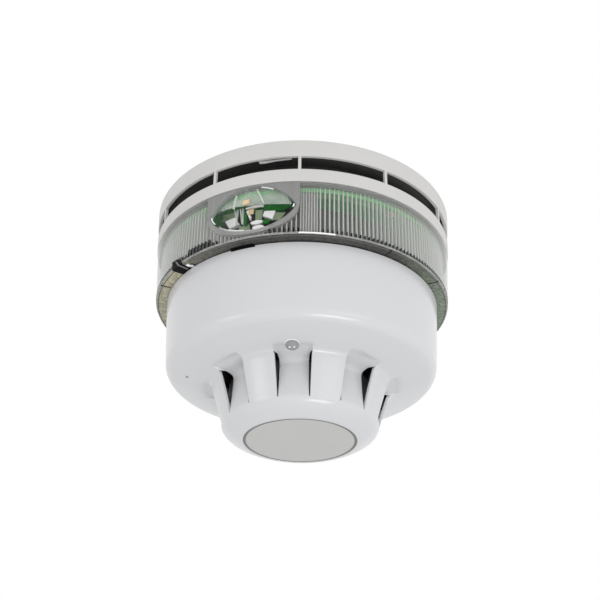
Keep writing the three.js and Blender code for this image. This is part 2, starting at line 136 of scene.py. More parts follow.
class Shader(Wiring):
    """A material's node tree with one Principled surface."""

    def __init__(self, name: str) -> None:
        """Starts an empty material.

        Args:
            name: the material's name.
        """
        self.material = bpy.data.materials.new(name)
        self.material.use_nodes = True
        super().__init__(self.material.node_tree)
        self.surface = self.tree.nodes["Principled BSDF"]

    def place(self, stretch: Point = (1, 1, 1)) -> Socket:
        """Object coordinates in millimetres, scaled per axis.

        Args:
            stretch: the pattern's scale along X, Y and Z.

        Returns:
            The vector socket.
        """
        place = self.node("ShaderNodeTexCoord").outputs["Object"]
        scale = [1000 * share for share in stretch]
        return self.node("ShaderNodeMapping", {"Vector": place, "Scale": scale}).outputs["Vector"]

    def noise(self, size: float, detail: float = 2, stretch: Point = (1, 1, 1)) -> Socket:
        """A noise pattern, with its blotches' width in millimetres."""
        inputs = {"Scale": 1 / size, "Detail": detail, "Vector": self.place(stretch)}
        return self.node("ShaderNodeTexNoise", inputs).outputs["Fac"]

    def ranged(self, value: Socket, span: tuple[float, float], low: float = 0, high: float = 1) -> Socket:
        """Maps a span of a socket's values onto low to high."""
        inputs = {"Value": value, "From Min": span[0], "From Max": span[1], "To Min": low, "To Max": high}
        return self.node("ShaderNodeMapRange", inputs).outputs["Result"]

    def mixed(self, share: Socket | float, first: Socket | Point, second: Socket | Point,
              blend: str = "MIX") -> Socket:
        """Mixes two colours.

        Args:
            share: how much of the second.
            first: a colour, as three numbers or a socket.
            second: the other colour.
            blend: the way they are mixed.

        Returns:
            The colour socket.
        """
        first, second = [part if isinstance(part, Socket) else (*part, 1) for part in (first, second)]
        inputs = {0: share, 6: first, 7: second}
        return self.node("ShaderNodeMix", inputs, data_type="RGBA", blend_type=blend).outputs[2]

    def tinted(self, value: Socket, colour: Point, spread: float) -> Socket:
        """A colour that a pattern makes darker and lighter by a share."""
        return self.mixed(value, shade(colour, 1 - spread), shade(colour, 1 + spread))

    def relief(self, value: Socket, depth: float) -> None:
        """Drives the surface's normal from a pattern, with its depth in millimetres."""
        bump = self.node("ShaderNodeBump", {"Distance": depth * MM, "Strength": 1, "Height": value})
        self.feed(Normal=bump.outputs["Normal"])

    def feed(self, **values: object) -> None:
        """Sets or drives the surface's own sockets, with _ for a space in a socket's name."""
        for name, value in values.items():
            self.give(self.surface.inputs[name.replace("_", " ")], value)


def shade(colour: Point, share: float) -> Point:
    """A colour made lighter or darker by a share."""
    return tuple(min(1.0, part * share) for part in colour)


@dataclass(frozen=True)
class Finish:
    """A material's recipe."""

    name: str

    def wire(self, shader: Shader) -> None:
        """Joins the nodes that make this finish.

        Args:
            shader: the new material's tree.
        """
        raise NotImplementedError

    def build(self) -> bpy.types.Material:
        """Makes the material.

        Returns:
            The finished material.
        """
        shader = Shader(self.name)
        self.wire(shader)
        return shader.material


@dataclass(frozen=True)
class MouldedPlastic(Finish):
    """Opaque moulded plastic with a fine spark-eroded grain and faint tonal drift."""

    colour: Point
    roughness: float = 0.45
    grain: float = 0.35
    grain_depth: float = 0.012
    drift: float = 0.03
    specular: float = 0.5
    cloud_size: float = 22
    gloss_size: float = 4
    gloss_range: float = 0.05

    def wire(self, shader: Shader) -> None:
        """Joins the drift of tone, the patches of gloss and the grain.

        Args:
            shader: the new material's tree.
        """
        low, high = self.roughness - self.gloss_range, self.roughness + self.gloss_range
        shader.relief(shader.noise(self.grain, 2), self.grain_depth)
        shader.feed(Base_Color=shader.tinted(shader.noise(self.cloud_size, 3), self.colour, self.drift),
                    Roughness=shader.ranged(shader.noise(self.gloss_size, 3), NOISE_SPAN, low, high),
                    Specular_IOR_Level=self.specular)


@dataclass(frozen=True)
class ClearPlastic(Finish):
    """Thin clear plastic: more is seen through it face on than at a glancing angle."""

    tint: Point
    face_on: float
    glancing: float
    roughness: float = 0.06
    streak: float = 0.0
    rise: float = 1.0
    rim_blend: float = 0.35
    ripple_size: float = 2.5
    ripple_depth: float = 0.01

    def wire(self, shader: Shader) -> None:
        """Joins the opacity, which rises towards a glancing angle, and the streaks.

        Args:
            shader: the new material's tree.
        """
        slant = shader.node("ShaderNodeLayerWeight", {"Blend": self.rim_blend}).outputs["Facing"]
        slant = shader.calc("POWER", slant, self.rise)
        shader.relief(shader.noise(self.ripple_size, 1), self.ripple_depth)
        shader.feed(Alpha=shader.ranged(slant, (0, 1), self.face_on, self.glancing),
                    Base_Color=shader.tinted(shader.noise(3, 2, (1, 1, 0.2)), self.tint, self.streak),
                    Roughness=self.roughness, IOR=1.5)


@dataclass(frozen=True)
class SolderResist(Finish):
    """Circuit board lacquer: pale at the rim and painted dark further in as the board's shade, with copper
    runs.
    """

    name: str = "solder_resist_painted_shade"
    rim: Point = (0.20, 0.50, 0.22)
    inner: Point = (0.008, 0.17, 0.022)
    track: Point = (0.07, 0.34, 0.12)
    rim_starts: float = 49.4
    pitch: float = 2.6
    run_width: float = 0.09
    edge_half: float = 0.2

    def wire(self, shader: Shader) -> None:
        """Joins the runs further in and the cloudy rim.

        Args:
            shader: the new material's tree.
        """
        runs = shader.node("ShaderNodeTexBrick", {
            "Vector": shader.place(), "Scale": 1 / self.pitch, "Mortar Size": self.run_width,
            "Color1": (*self.inner, 1), "Color2": (*shade(self.inner, 1.5), 1),
            "Mortar": (*self.track, 1)}, offset=0.5, squash=0.7)
        # painted shade: dark inside this radius, pale green outside it
        away = shader.node("ShaderNodeVectorMath", {0: shader.place((1, 1, 0))}, operation="LENGTH")
        span = (self.rim_starts - self.edge_half, self.rim_starts + self.edge_half)
        zone = shader.ranged(away.outputs["Value"], span)
        rim = shader.tinted(shader.noise(2.5, 2), self.rim, 0.15)
        shader.relief(runs.outputs["Fac"], 0.03)
        shader.feed(Base_Color=shader.mixed(zone, runs.outputs["Color"], rim), Roughness=0.32)


@dataclass(frozen=True)
class SmokyFlange(Finish):
    """Clear moulding seen against a dark inside, with painted light and shade: dark in the middle, warm on
    one side and green on the other, mottled with painted reflections.
    """

    name: str = "flange_painted_light"
    warm: Point = (0.36, 0.34, 0.24)
    dusk: Point = (0.13, 0.125, 0.105)
    middle: Point = (0.045, 0.045, 0.042)
    green: Point = (0.17, 0.21, 0.15)
    half_width: float = 54.0
    fleck: Point = (2.1, 2.1, 2.1)

    def wire(self, shader: Shader) -> None:
        """Joins the painted change of light and shade from side to side and the flecks of painted reflection.

        Args:
            shader: the new material's tree.
        """
        # painted light and shade: the colour runs across X, dark in the middle and lighter towards each side
        across = shader.node("ShaderNodeSeparateXYZ", {0: shader.place()}).outputs["X"]
        share = shader.ranged(across, (-self.half_width, self.half_width))
        ramp = shader.node("ShaderNodeValToRGB", {"Fac": share})
        stops = ((0.0, self.warm), (0.1, self.warm), (0.135, self.dusk), (0.3, self.middle),
                 (0.8, self.middle), (1.0, self.green))
        while len(ramp.color_ramp.elements) < len(stops):
            ramp.color_ramp.elements.new(0.5)
        for element, (place, colour) in zip(ramp.color_ramp.elements, stops):
            element.position = place
            element.color = (*colour, 1)
        # painted reflections: mottled lighter flecks
        flecks = shader.mixed(shader.noise(1.1, 4), (0.0, 0.0, 0.0), self.fleck)
        shader.relief(shader.noise(1.6, 3), 0.12)
        shader.feed(Base_Color=shader.mixed(1, ramp.outputs["Color"], flecks, "MULTIPLY"),
                    Roughness=0.15, Specular_IOR_Level=0.3)


@dataclass(frozen=True)
class Metal(Finish):
    """Plated or spring metal with fine drawn lines."""

    colour: Point
    roughness: float = 0.3
    dull: float = 0.88
    bright: float = 1.08

    def wire(self, shader: Shader) -> None:
        """Joins the drawn lines to the colour, the gloss and the relief.

        Args:
            shader: the new material's tree.
        """
        lines = shader.noise(0.3, 2, (1, 1, 0.08))
        rough = shader.ranged(lines, NOISE_SPAN, self.roughness - 0.07, self.roughness + 0.1)
        shader.relief(lines, 0.01)
        colour = shader.mixed(lines, shade(self.colour, self.dull), shade(self.colour, self.bright))
        shader.feed(Base_Color=colour, Roughness=rough, Metallic=1.0)


FINISHES = {
    "housing": MouldedPlastic("housing_plastic", (0.545, 0.54, 0.527), 0.5, 0.4, 0.05, 0.04),
    "head": MouldedPlastic("head_plastic", (0.572, 0.577, 0.588), 0.22, 0.25, 0.0005, 0.006),
    "face": MouldedPlastic("face_disc_plastic", (0.465, 0.465, 0.456), 0.5, 0.3, 0.008, 0.02),
    "inner": MouldedPlastic("inner_plastic", (0.62, 0.61, 0.59), 0.5, 0.3, 0.01),
    "dark": MouldedPlastic("dark_plastic", (0.085, 0.085, 0.083), 0.7, 0.6, 0.06, 0.25, 0.3),
    # painted shade: dark grey for the socket inside the ring and the dark line under the flange
    "smoke": MouldedPlastic("dark_painted_shade", (0.085, 0.09, 0.08), 0.5, 0.8, 0.03, 0.15),
    # painted shade in the face groove, and the grey painted highlight on the latch
    "groove": MouldedPlastic("grey_painted_shade_and_highlight", (0.19, 0.19, 0.185), 0.6, 0.3, 0.02, 0.1, 0.2),
    # painted shade: near black for pieces seen in shadow through the cover's slits
    "slate": MouldedPlastic("slate_painted_shade", (0.07, 0.065, 0.07), 0.6, 0.35, 0.02, 0.08),
    "black": MouldedPlastic("black_plastic", (0.004, 0.004, 0.0045), 0.7, 0.3, 0.02, 0.2, 0.12),
    "red": MouldedPlastic("red_plastic", (0.42, 0.03, 0.02), 0.5, 0.3, 0.01, 0.08),
    # real white reflector parts, and also the painted highlights: window glints, the edge arc and the
    # indicator seat
    "reflector": MouldedPlastic("white_and_painted_highlight", (0.90, 0.90, 0.90), 0.2, 1.0, 0.08, 0.25),
    "phosphor": MouldedPlastic("light_phosphor", (0.74, 0.53, 0.32), 0.4, 0.2, 0.02, 0.08),
    "sage": MouldedPlastic("sage_reflection", (0.24, 0.31, 0.19), 0.35, 1.5, 0.05, 0.35, 0.2),
    # painted shade: the board in shadow seen through the window
    "shard": MouldedPlastic("green_painted_board_shade", (0.006, 0.13, 0.012), 0.4, 0.7, 0.02, 0.3, 0.12),
    "ceramic": MouldedPlastic("ceramic", (0.78, 0.73, 0.62), 0.55, 0.2, 0.02, 0.05),
    "bead": MouldedPlastic("glazed_bead", (0.03, 0.024, 0.02), 0.2, 0.4, 0.02, 0.2),
    "bezel": ClearPlastic("frosted_bezel", (0.30, 0.30, 0.295), 0.66, 0.85, 0.35, 0.2),
    "lens": ClearPlastic("clear_ring", (0.49, 0.50, 0.475), 0.05, 0.95, 0.08, 0.05, 2.0),
    "rib": ClearPlastic("clear_rib", (0.80, 0.81, 0.79), 0.56, 0.72, 0.2, 0.08),
    "dome": ClearPlastic("clear_window", (0.60, 0.64, 0.61), 0.0, 0.10, 0.03, 0.02),
    "haze": ClearPlastic("hazy_panel", (0.36, 0.36, 0.355), 0.62, 0.7, 0.3, 0.08),
    "veil": ClearPlastic("upper_facet", (0.74, 0.83, 0.74), 0.27, 0.5, 0.06, 0.25),
    "edge": ClearPlastic("moulded_edge", (0.45, 0.45, 0.44), 0.45, 0.6, 0.08, 0.5),
    "flange": SmokyFlange(),
    "pipe": MouldedPlastic("frosted_pipe", (0.27, 0.27, 0.27), 0.22, 0.5, 0.02, 0.1),
    "board": SolderResist(),
    "steel": Metal("plated_steel", (0.62, 0.62, 0.63)),
    "brass": Metal("spring_brass", (0.72, 0.52, 0.22)),
}


@cache
def paint(name: str) -> bpy.types.Material:
    """The material of a finish, made at its first use."""
    return FINISHES[name].build()


# ------------------------------------------------------------------ mesh making
def polar(radius: float, bearing: float, height: float) -> Point:
    """A point at a radius and height in millimetres and a bearing in degrees, zero at -Y, in metres."""
    angle = math.radians(bearing)
    return (radius * math.sin(angle) * MM, -radius * math.cos(angle) * MM, height * MM)


def spread(start: float, width: float, steps: int) -> list[float]:
    """Evenly spaced numbers over a width, both ends included."""
    return [start + width * i / steps for i in range(steps + 1)]


def directions(count: int) -> list[float]:
    """Evenly spaced directions round a full turn, in radians."""
    return [TURN * i / count for i in range(count)]


def linked(name: str, data: bpy.types.ID) -> Piece:
    """Makes a new object in the scene.

    Args:
        name: the object's name.
        data: its mesh, curve, camera or light.

    Returns:
        The object.
    """
    made = bpy.data.objects.new(name, data)
    bpy.context.scene.collection.objects.link(made)
    return made


def baked(source: Piece, lift: float) -> bpy.types.Mesh:
    """Turns an object into a plain mesh, and removes the object.

    Args:
        source: the object, with its modifiers.
        lift: how far up the mesh goes, in millimetres.

    Returns:
        The plain mesh.
    """
    bpy.context.view_layer.update()
    mesh = bpy.data.meshes.new_from_object(source.evaluated_get(bpy.context.evaluated_depsgraph_get()))
    bpy.data.objects.remove(source)
    for vertex in mesh.vertices:
        vertex.co.z += lift * MM
    return mesh


@dataclass
class Draft:
    """Corners and faces of one mesh while it is being made."""

    points: list[Point] = field(default_factory=list)
    faces: list[tuple[int, ...]] = field(default_factory=list)

    def point(self, place: Point) -> int:
        """Adds a point, in metres, and returns its index."""
        self.points.append(place)
        return len(self.points) - 1

    def row(self, places: list[Point]) -> list[int]:
        """Adds several points and returns their indices."""
        return [self.point(place) for place in places]

    def strip(self, first: list[int], second: list[int], closed: bool = False) -> None:
        """Fills the band between two rows of equal length.

        Args:
            first: one row of points.
            second: the other row.
            closed: whether the rows run on from last to first.
        """
        count = len(first)
        for here in range(count if closed else count - 1):
            after = (here + 1) % count
            face = (first[here], first[after], second[after], second[here])
            if len(set(face)) > 2:
                self.faces.append(tuple(dict.fromkeys(face)))

    def loft(self, rows: list[list[int]], closed: bool = False, looped: bool = False) -> None:
        """Fills the bands between rows, one after another.

        Args:
            rows: rows of equal length.
            closed: whether each row runs on from last to first.
            looped: whether the last row also joins the first.
        """
        for first, second in zip(rows, rows[1:] + rows[:1] * looped):
            self.strip(first, second, closed)

    def bar(self, rows: list[list[int]]) -> None:
        """Fills a closed bar between the rows that run along its edges.

        Args:
            rows: the rows, in order round the bar.
        """
        self.loft(rows, looped=True)
        for end in (0, -1):
            self.faces.append(tuple(row[end] for row in rows))

    def build(self, name: str, sharp: float = SHARP_ANGLE) -> Piece:
        """Makes the object, clean and shaded.

        Args:
            name: the object's name.
            sharp: the angle past which an edge stays sharp, in degrees.

        Returns:
            The object.
        """
        mesh = bpy.data.meshes.new(name)
        mesh.from_pydata(self.points, [], self.faces)
        return finished(name, mesh, sharp)


def finished(name: str, mesh: bpy.types.Mesh, sharp: float = SHARP_ANGLE) -> Piece:
    """Merges a mesh's doubles, turns its normals out, shades it smooth, and links an object of it.

    Args:
        name: the object's name.
        mesh: the mesh, in metres.
        sharp: the angle past which an edge stays sharp, in degrees.

    Returns:
        The object.
    """
    work = bmesh.new()
    work.from_mesh(mesh)
    bmesh.ops.remove_doubles(work, verts=work.verts, dist=MERGE_DISTANCE)
    bmesh.ops.recalc_face_normals(work, faces=work.faces)
    work.to_mesh(mesh)
    work.free()
    mesh.shade_smooth()
    mesh.set_sharp_from_angle(angle=math.radians(sharp))
    return linked(name, mesh)


def rounded(corners: list[Point], steps: int = 4, closed: bool = True) -> Outline:
    """Rounds the corners of an outline.

    Args:
        corners: (radius, height, rounding) of each corner, in millimetres.
        steps: pieces in each round.
        closed: whether the outline runs on from last to first.

    Returns:
        The outline's (radius, height) points.
    """
    outline = []
    count = len(corners)
    for index, (x, y, size) in enumerate(corners):
        at_end = not closed and index in (0, count - 1)
        if size <= 0 or at_end:
            outline.append((x, y))
            continue
        here = Vector((x, y))
        back = Vector(corners[index - 1][:2]) - here
        ahead = Vector(corners[(index + 1) % count][:2]) - here
        reach = min(size, 0.49 * back.length, 0.49 * ahead.length)
        start, end = here + back.normalized() * reach, here + ahead.normalized() * reach
        for step in range(steps + 1):
            share = step / steps
            bend = start * (1 - share) ** 2 + here * 2 * share * (1 - share) + end * share ** 2
            outline.append((bend.x, bend.y))
    return outline


def turned(name: str, outline: Outline, around: int = 180, sharp: float = SHARP_ANGLE) -> Piece:
    """A solid of revolution about Z.

    Args:
        name: the object's name.
        outline: (radius, height) points; off the axis the outline closes on itself.
        around: facets round it.
        sharp: the angle past which an edge stays sharp.

    Returns:
        The object.
    """
    draft = Draft()
    rows = []
    for radius, height in outline:
        if radius < TINY:
            rows.append([draft.point((0, 0, height * MM))] * around)
        else:
            rows.append(draft.row([polar(radius, 360 * i / around, height) for i in range(around)]))
    draft.loft(rows, closed=True, looped=outline[0][0] > TINY)
    return draft.build(name, sharp)


def arc_block(name: str, inner: float, outer: float, top: float, bottom: float, bearing: float,
              half: float, edge: float = 0.25) -> Piece:
    """A curved block with softened edges.

    Args:
        name: the object's name.
        inner: the radius of its back, in millimetres.
        outer: the radius of its front.
        top: the height of its upper face.
        bottom: the height of its lower face.
        bearing: the bearing of its middle, in degrees.
        half: the half of its width, in degrees.
        edge: the rounding of its edges.

    Returns:
        The object.
    """
    draft = Draft()
    bearings = spread(bearing - half, 2 * half, max(2, round(half)))
    section = ((inner, top), (outer, top), (outer, bottom), (inner, bottom))
    draft.bar([draft.row([polar(r, b, z) for b in bearings]) for r, z in section])
    return soften(draft.build(name), edge)


def facet(name: str, corners: Outline, inner: float, outer: float, edge: float = 0.12) -> Piece:
    """A flat-sided block that faces outwards between two radii.

    Args:
        name: the object's name.
        corners: (bearing, height) of its outline, in degrees and millimetres.
        inner: the back's radius.
        outer: the front's radius.
        edge: the rounding of its edges.

    Returns:
        The object.
    """
    draft = Draft()
    back, front = [draft.row([polar(radius, b, z) for b, z in corners]) for radius in (inner, outer)]
    draft.strip(back, front, closed=True)
    draft.faces += [tuple(back), tuple(front)]
    return soften(draft.build(name), edge)


def soften(piece: Piece, width: float) -> Piece:
    """Rounds a piece's edges with a bevel.

    Args:
        piece: the object.
        width: the bevel's width in millimetres.

    Returns:
        The same object.
    """
    bevel = piece.modifiers.new("edges", "BEVEL")
    bevel.width = width * MM
    bevel.segments = 2
    bevel.limit_method = "ANGLE"
    bevel.angle_limit = math.radians(BEVEL_ANGLE)
    bevel.harden_normals = True
    return piece


def flat_plate(name: str, loops: list[Outline], top: float, bottom: float, edge: float = 0.2) -> Piece:
    """A plate with holes, cut from closed outlines.

    Args:
        name: the object's name.
        loops: the outer outline and those of the holes, (x, y) in millimetres.
        top: the upper face's height in millimetres.
        bottom: the lower face's height.
        edge: the rounding of its edges.

    Returns:
        The object.
    """
    curve = bpy.data.curves.new(name, "CURVE")
    curve.dimensions = "2D"
    curve.fill_mode = "BOTH"
    curve.extrude = (top - bottom) / 2 * MM - edge * MM
    curve.bevel_depth = edge * MM
    curve.bevel_resolution = 2
    curve.offset = -edge * MM
    for loop in loops:
        line = curve.splines.new("POLY")
        line.points.add(len(loop) - 1)
        line.use_cyclic_u = True
        for point, (x, y) in zip(line.points, loop):
            point.co = (x * MM, y * MM, 0, 1)
    return finished(name, baked(linked(name, curve), (top + bottom) / 2))


def circle(radius: float, x: float = 0, y: float = 0, steps: int = 96) -> Outline:
    """Points round a circle, in millimetres."""
    return [(x + radius * math.cos(a), y + radius * math.sin(a)) for a in directions(steps)]


# ------------------------------------------------------------------ repeats by geometry nodes
@dataclass(frozen=True)
class Clip:
    """An oval that clips a row's tops: its bearing, its reach, and the shares of height it works with."""

    centre: float = -999.0
    reach: float = 1.0
    kept_at_ends: float = 1.0
    depth: float = 0.0


class ArcRow(Wiring):
    """A geometry-node tree that sets a template piece along an arc about Z."""

    sockets = {"Geometry": "Geometry", "Template": "Object", "Count": "Int", "Start": "Float",
               "Pitch": "Float", "Cut Centre": "Float", "Cut Reach": "Float", "Cut Top": "Float",
               "Cut Depth": "Float", "Finish": "Material"}

    def __init__(self) -> None:
        """Builds the tree once: points, turned instances, clipped heights, real mesh, finish."""
        super().__init__(bpy.data.node_groups.new("arc_row", "GeometryNodeTree"))
        face = self.tree.interface
        face.new_socket("Geometry", in_out="OUTPUT", socket_type="NodeSocketGeometry")
        self.inputs = {}
        for name, kind in self.sockets.items():
            socket = face.new_socket(name, in_out="INPUT", socket_type="NodeSocket" + kind)
            self.inputs[name] = socket.identifier
        given = self.node("NodeGroupInput").outputs
        index = self.node("GeometryNodeInputIndex").outputs[0]
        bearing = self.calc("ADD", self.calc("MULTIPLY", index, given["Pitch"]), given["Start"])
        turn = self.node("ShaderNodeCombineXYZ", {2: self.calc("RADIANS", bearing)})
        scale = self.node("ShaderNodeCombineXYZ", {0: 1, 1: 1, 2: self.kept_height(given, bearing)})
        points = self.node("GeometryNodePoints", {"Count": given["Count"]})
        shape = self.node("GeometryNodeObjectInfo", {"Object": given["Template"]},
                          transform_space="ORIGINAL")
        euler = self.node("FunctionNodeEulerToRotation", {0: turn.outputs[0]})
        copies = self.node("GeometryNodeInstanceOnPoints", {
            "Points": points.outputs[0], "Instance": shape.outputs["Geometry"],
            "Rotation": euler.outputs[0], "Scale": scale.outputs[0]})
        real = self.node("GeometryNodeRealizeInstances", {0: copies.outputs[0]})
        dress = self.node("GeometryNodeSetMaterial", {0: real.outputs[0], "Material": given["Finish"]})
        self.node("NodeGroupOutput", {0: dress.outputs[0]})

    def kept_height(self, given: bpy.types.bpy_prop_collection, bearing: Socket) -> Socket:
        """The share of height that a copy keeps under the oval.

        Args:
            given: the tree's inputs.
            bearing: the copy's bearing.

        Returns:
            The share.
        """
        away = self.calc("ABSOLUTE", self.calc("SUBTRACT", bearing, given["Cut Centre"]))
        share = self.calc("MINIMUM", self.calc("DIVIDE", away, given["Cut Reach"]), 1.0)
        root = self.calc("SQRT", self.calc("SUBTRACT", 1.0, self.calc("MULTIPLY", share, share)))
        low = self.calc("SUBTRACT", given["Cut Top"], self.calc("MULTIPLY", root, given["Cut Depth"]))
        inside = self.calc("LESS_THAN", share, 0.999)
        return self.calc("SUBTRACT", 1.0, self.calc("MULTIPLY", inside, self.calc("SUBTRACT", 1.0, low)))

    def build(self, name: str, template: Piece, base_height: float, slot: Slot, finish: str, count: int,
              start: float, pitch: float, clip: Clip = Clip()) -> None:
        """Sets copies of a template along the arc, as one plain mesh on the base.

        Args:
            name: the new piece's name.
            template: the piece on the -Y side, standing on zero height; it is removed.
            base_height: the height that the row stands on, in millimetres.
            slot: the record's slot; not used.
            finish: the finish's name.
            count: how many copies.
            start: the first copy's bearing in degrees.
            pitch: degrees from one to the next.
            clip: the oval that clips the copies' tops.
        """
        holder = linked(name + "_holder", bpy.data.meshes.new(name + "_holder"))
        nodes = holder.modifiers.new("row", "NODES")
        nodes.node_group = self.tree
        values = {"Template": template, "Count": count, "Start": float(start), "Pitch": float(pitch),
                  "Cut Centre": clip.centre, "Cut Reach": clip.reach, "Cut Top": clip.kept_at_ends,
                  "Cut Depth": clip.depth, "Finish": paint(finish)}
        for key, value in values.items():
            nodes[self.inputs[key]] = value
        mesh = baked(holder, base_height)
        bpy.data.objects.remove(template)
        hand_over(linked(name, mesh))


ROWS = ArcRow()


def hand_over(piece: Piece, finish: str | None = None, nodes: tuple[str, ...] = (),
              body: Body = Body.BASE) -> None:
    """Gives a piece its finish and its body, and hides the frame nodes that it stands for.

    Args:
        piece: the finished object.
        finish: the finish's name, or None where the mesh already has one.
        nodes: the frame nodes that it replaces.
        body: the body it rides on.
    """
    if finish:
        piece.data.materials.clear()
        piece.data.materials.append(paint(finish))
    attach(piece, body.value)
    if nodes:
        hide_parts(*nodes)
    LOG.info("%s: %d faces on %s", piece.name, len(piece.data.polygons), body.value)


def facets(prefix: str, table: dict[str, Outline], inner: float, outer: float, finish: str,
           edge: float = 0.12) -> None:
    """Makes a facet on the base for each outline of a table.

    Args:
        prefix: what each name starts with.
        table: the outlines, by the rest of the name.
        inner: the backs' radius.
        outer: the fronts' radius.
        finish: the finish's name.
        edge: the rounding of the edges.
    """
    for name, corners in table.items():
        hand_over(facet(prefix + name, corners, inner, outer, edge), finish)


def low_z(node: str) -> float:
    """The lowest height of a frame node, in millimetres."""
    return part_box(node)[0].z / MM


def high_z(node: str) -> float:
    """The highest height of a frame node, in millimetres."""
    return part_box(node)[1].z / MM


def reach(node: str) -> float:
    """The radius of a round frame node about Z, in millimetres."""
    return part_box(node)[1].x / MM


# ------------------------------------------------------------------ sub-assemblies
@dataclass
class SounderHousing:
    """The two bands, their struts, the ceiling plate and the dark chamber behind the sound gap."""

    radius: float = reach("sounder_housing")
    bottom: float = low_z("sounder_housing")
    gap_top: float = -6.7
    gap_bottom: float = -12.0
    gap_ceiling: float = -3.4
    gap_bore: float = 54.7
    bore: float = 53.4
    shelf_bore: float = 48.5
    struts: int = 11
    strut_width: float = 1.1
    strut_bearing: float = -1.5
    drum_radius: float = 45.5
    drum_bottom: float = -14.6
    drum_bore: float = 43.7
    fixing_reach: float = 30.0
    fixing_radius: float = 2.2
    fixing_half: float = 2.8
    cable_radius: float = 9.0
    cable_back: float = 24.0

    def bands(self) -> None:
        """Makes the upper and lower bands."""
        rim, shelf = self.radius, self.bottom + 2
        upper = rounded([(self.bore, 0, 0.2), (rim, 0, 0.35), (rim - 0.25, self.gap_top, 0.3),
                         (self.gap_bore, self.gap_top, 0.3), (self.gap_bore, self.gap_ceiling, 0.1),
                         (self.bore, self.gap_ceiling, 0.1)])
        hand_over(turned("housing_upper_band", upper), "housing", ("sounder_housing",))
        lower = rounded([(rim - 0.4, self.gap_bottom, 0.3), (rim - 0.6, self.bottom, 0.3),
                         (self.shelf_bore, self.bottom, 0.3), (self.shelf_bore, shelf, 0.3),
                         (self.bore, shelf, 0.6), (self.bore, self.gap_bottom, 0.3)])
        hand_over(turned("housing_lower_band", lower), "housing")

    def strut_row(self) -> None:
        """Makes the thin struts that bridge the sound gap."""
        height = self.gap_top - self.gap_bottom + 0.6
        half = math.degrees(self.strut_width / 2 / self.radius)
        template = arc_block("strut", self.gap_bore + 0.1, self.radius - 0.42, height, 0, 0, half, 0.12)
        ROWS.build("housing_struts", template, self.gap_bottom - 0.3, Slot.HOUSING, "housing", self.struts,
                   self.strut_bearing, 360 / self.struts)

    def plate(self) -> None:
        """Makes the ceiling plate with its cable entry, fixing slots and stiffening rings."""
        low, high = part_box("ceiling_plate")
        edge, top, bottom = high.x / MM, high.z / MM, low.z / MM
        loops = [circle(edge, steps=180), circle(self.cable_radius, 0, self.cable_back)]
        for side in (-self.fixing_reach, self.fixing_reach):
            loops.append([(side + x, y + self.fixing_half * (1 if y > 0 else -1))
                          for x, y in circle(self.fixing_radius, steps=32)])
        plate = flat_plate("ceiling_plate_moulding", loops, top - 0.6, bottom)
        hand_over(plate, "inner", ("ceiling_plate",))
        for index, (inner, outer) in enumerate(((50.5, edge - 0.1), (38.6, 39.6), (13.0, 13.8)), start=1):
            ring = rounded([(inner, top - 0.7, 0.1), (outer, top - 0.7, 0.1), (outer, top, 0.25),
                            (inner, top, 0.25)])
            hand_over(turned(f"plate_ring_{index}", ring), "inner")
        rib = arc_block("plate_rib", 39.5, 50.6, 0.65, 0, 0, 0.7, 0.12)
        ROWS.build("plate_ribs", rib, top - 0.67, Slot.INNER, "inner", 24, 7.5, 15.0)

    def chamber(self) -> None:
        """Makes the dark drum, and the dark roof behind the gap that paints the shade under the upper band.
        """
        top, bottom, floor = high_z("sound_chamber"), self.drum_bottom, self.drum_bottom + 1.6
        drum = rounded([(0, floor, 0), (self.drum_bore, floor, 0.6), (self.drum_bore, top, 0.3),
                        (self.drum_radius, top, 0.3), (self.drum_radius, -12.4, 1.2), (47.6, bottom, 0.4),
                        (0, bottom, 0)], closed=False)
        hand_over(turned("sound_drum", drum), "dark", ("sound_chamber",))
        # painted shade: a dark roof under the upper band, where the gap lies in shadow
        bore, outer, level = self.bore - 0.1, self.gap_bore - 0.05, self.gap_ceiling - 0.05
        roof = [(45.7, -2.5), (bore, -2.5), (bore, level), (outer, level), (outer, -3.9), (45.7, -3.1)]
        hand_over(turned("sound_gap_roof", roof), "dark")
        fin = arc_block("fin", 45.3, 46.0, 8.2, 0, 0, 0.4, 0.1)
        ROWS.build("sound_drum_fins", fin, -11.6, Slot.DARK, "dark", 72, 2.0, 5.0)

    def snap_lip(self) -> None:
        """Makes the thin pale lip that shows under the upper band, beside the front strut."""
        left, right, top = -17.0, -4.5, self.gap_top + 0.35
        lip = facet("housing_snap_lip", [(left, top), (right, top), (right, top - 0.35), (-10.5, top - 0.75),
                                         (-14.5, top - 1.15), (left + 0.4, top - 1.0)], 53.9, 54.6, 0.1)
        hand_over(lip, "housing")

    def build(self) -> None:
        """Makes every piece."""
        self.bands()
        self.strut_row()
        self.plate()
        self.chamber()
        self.snap_lip()


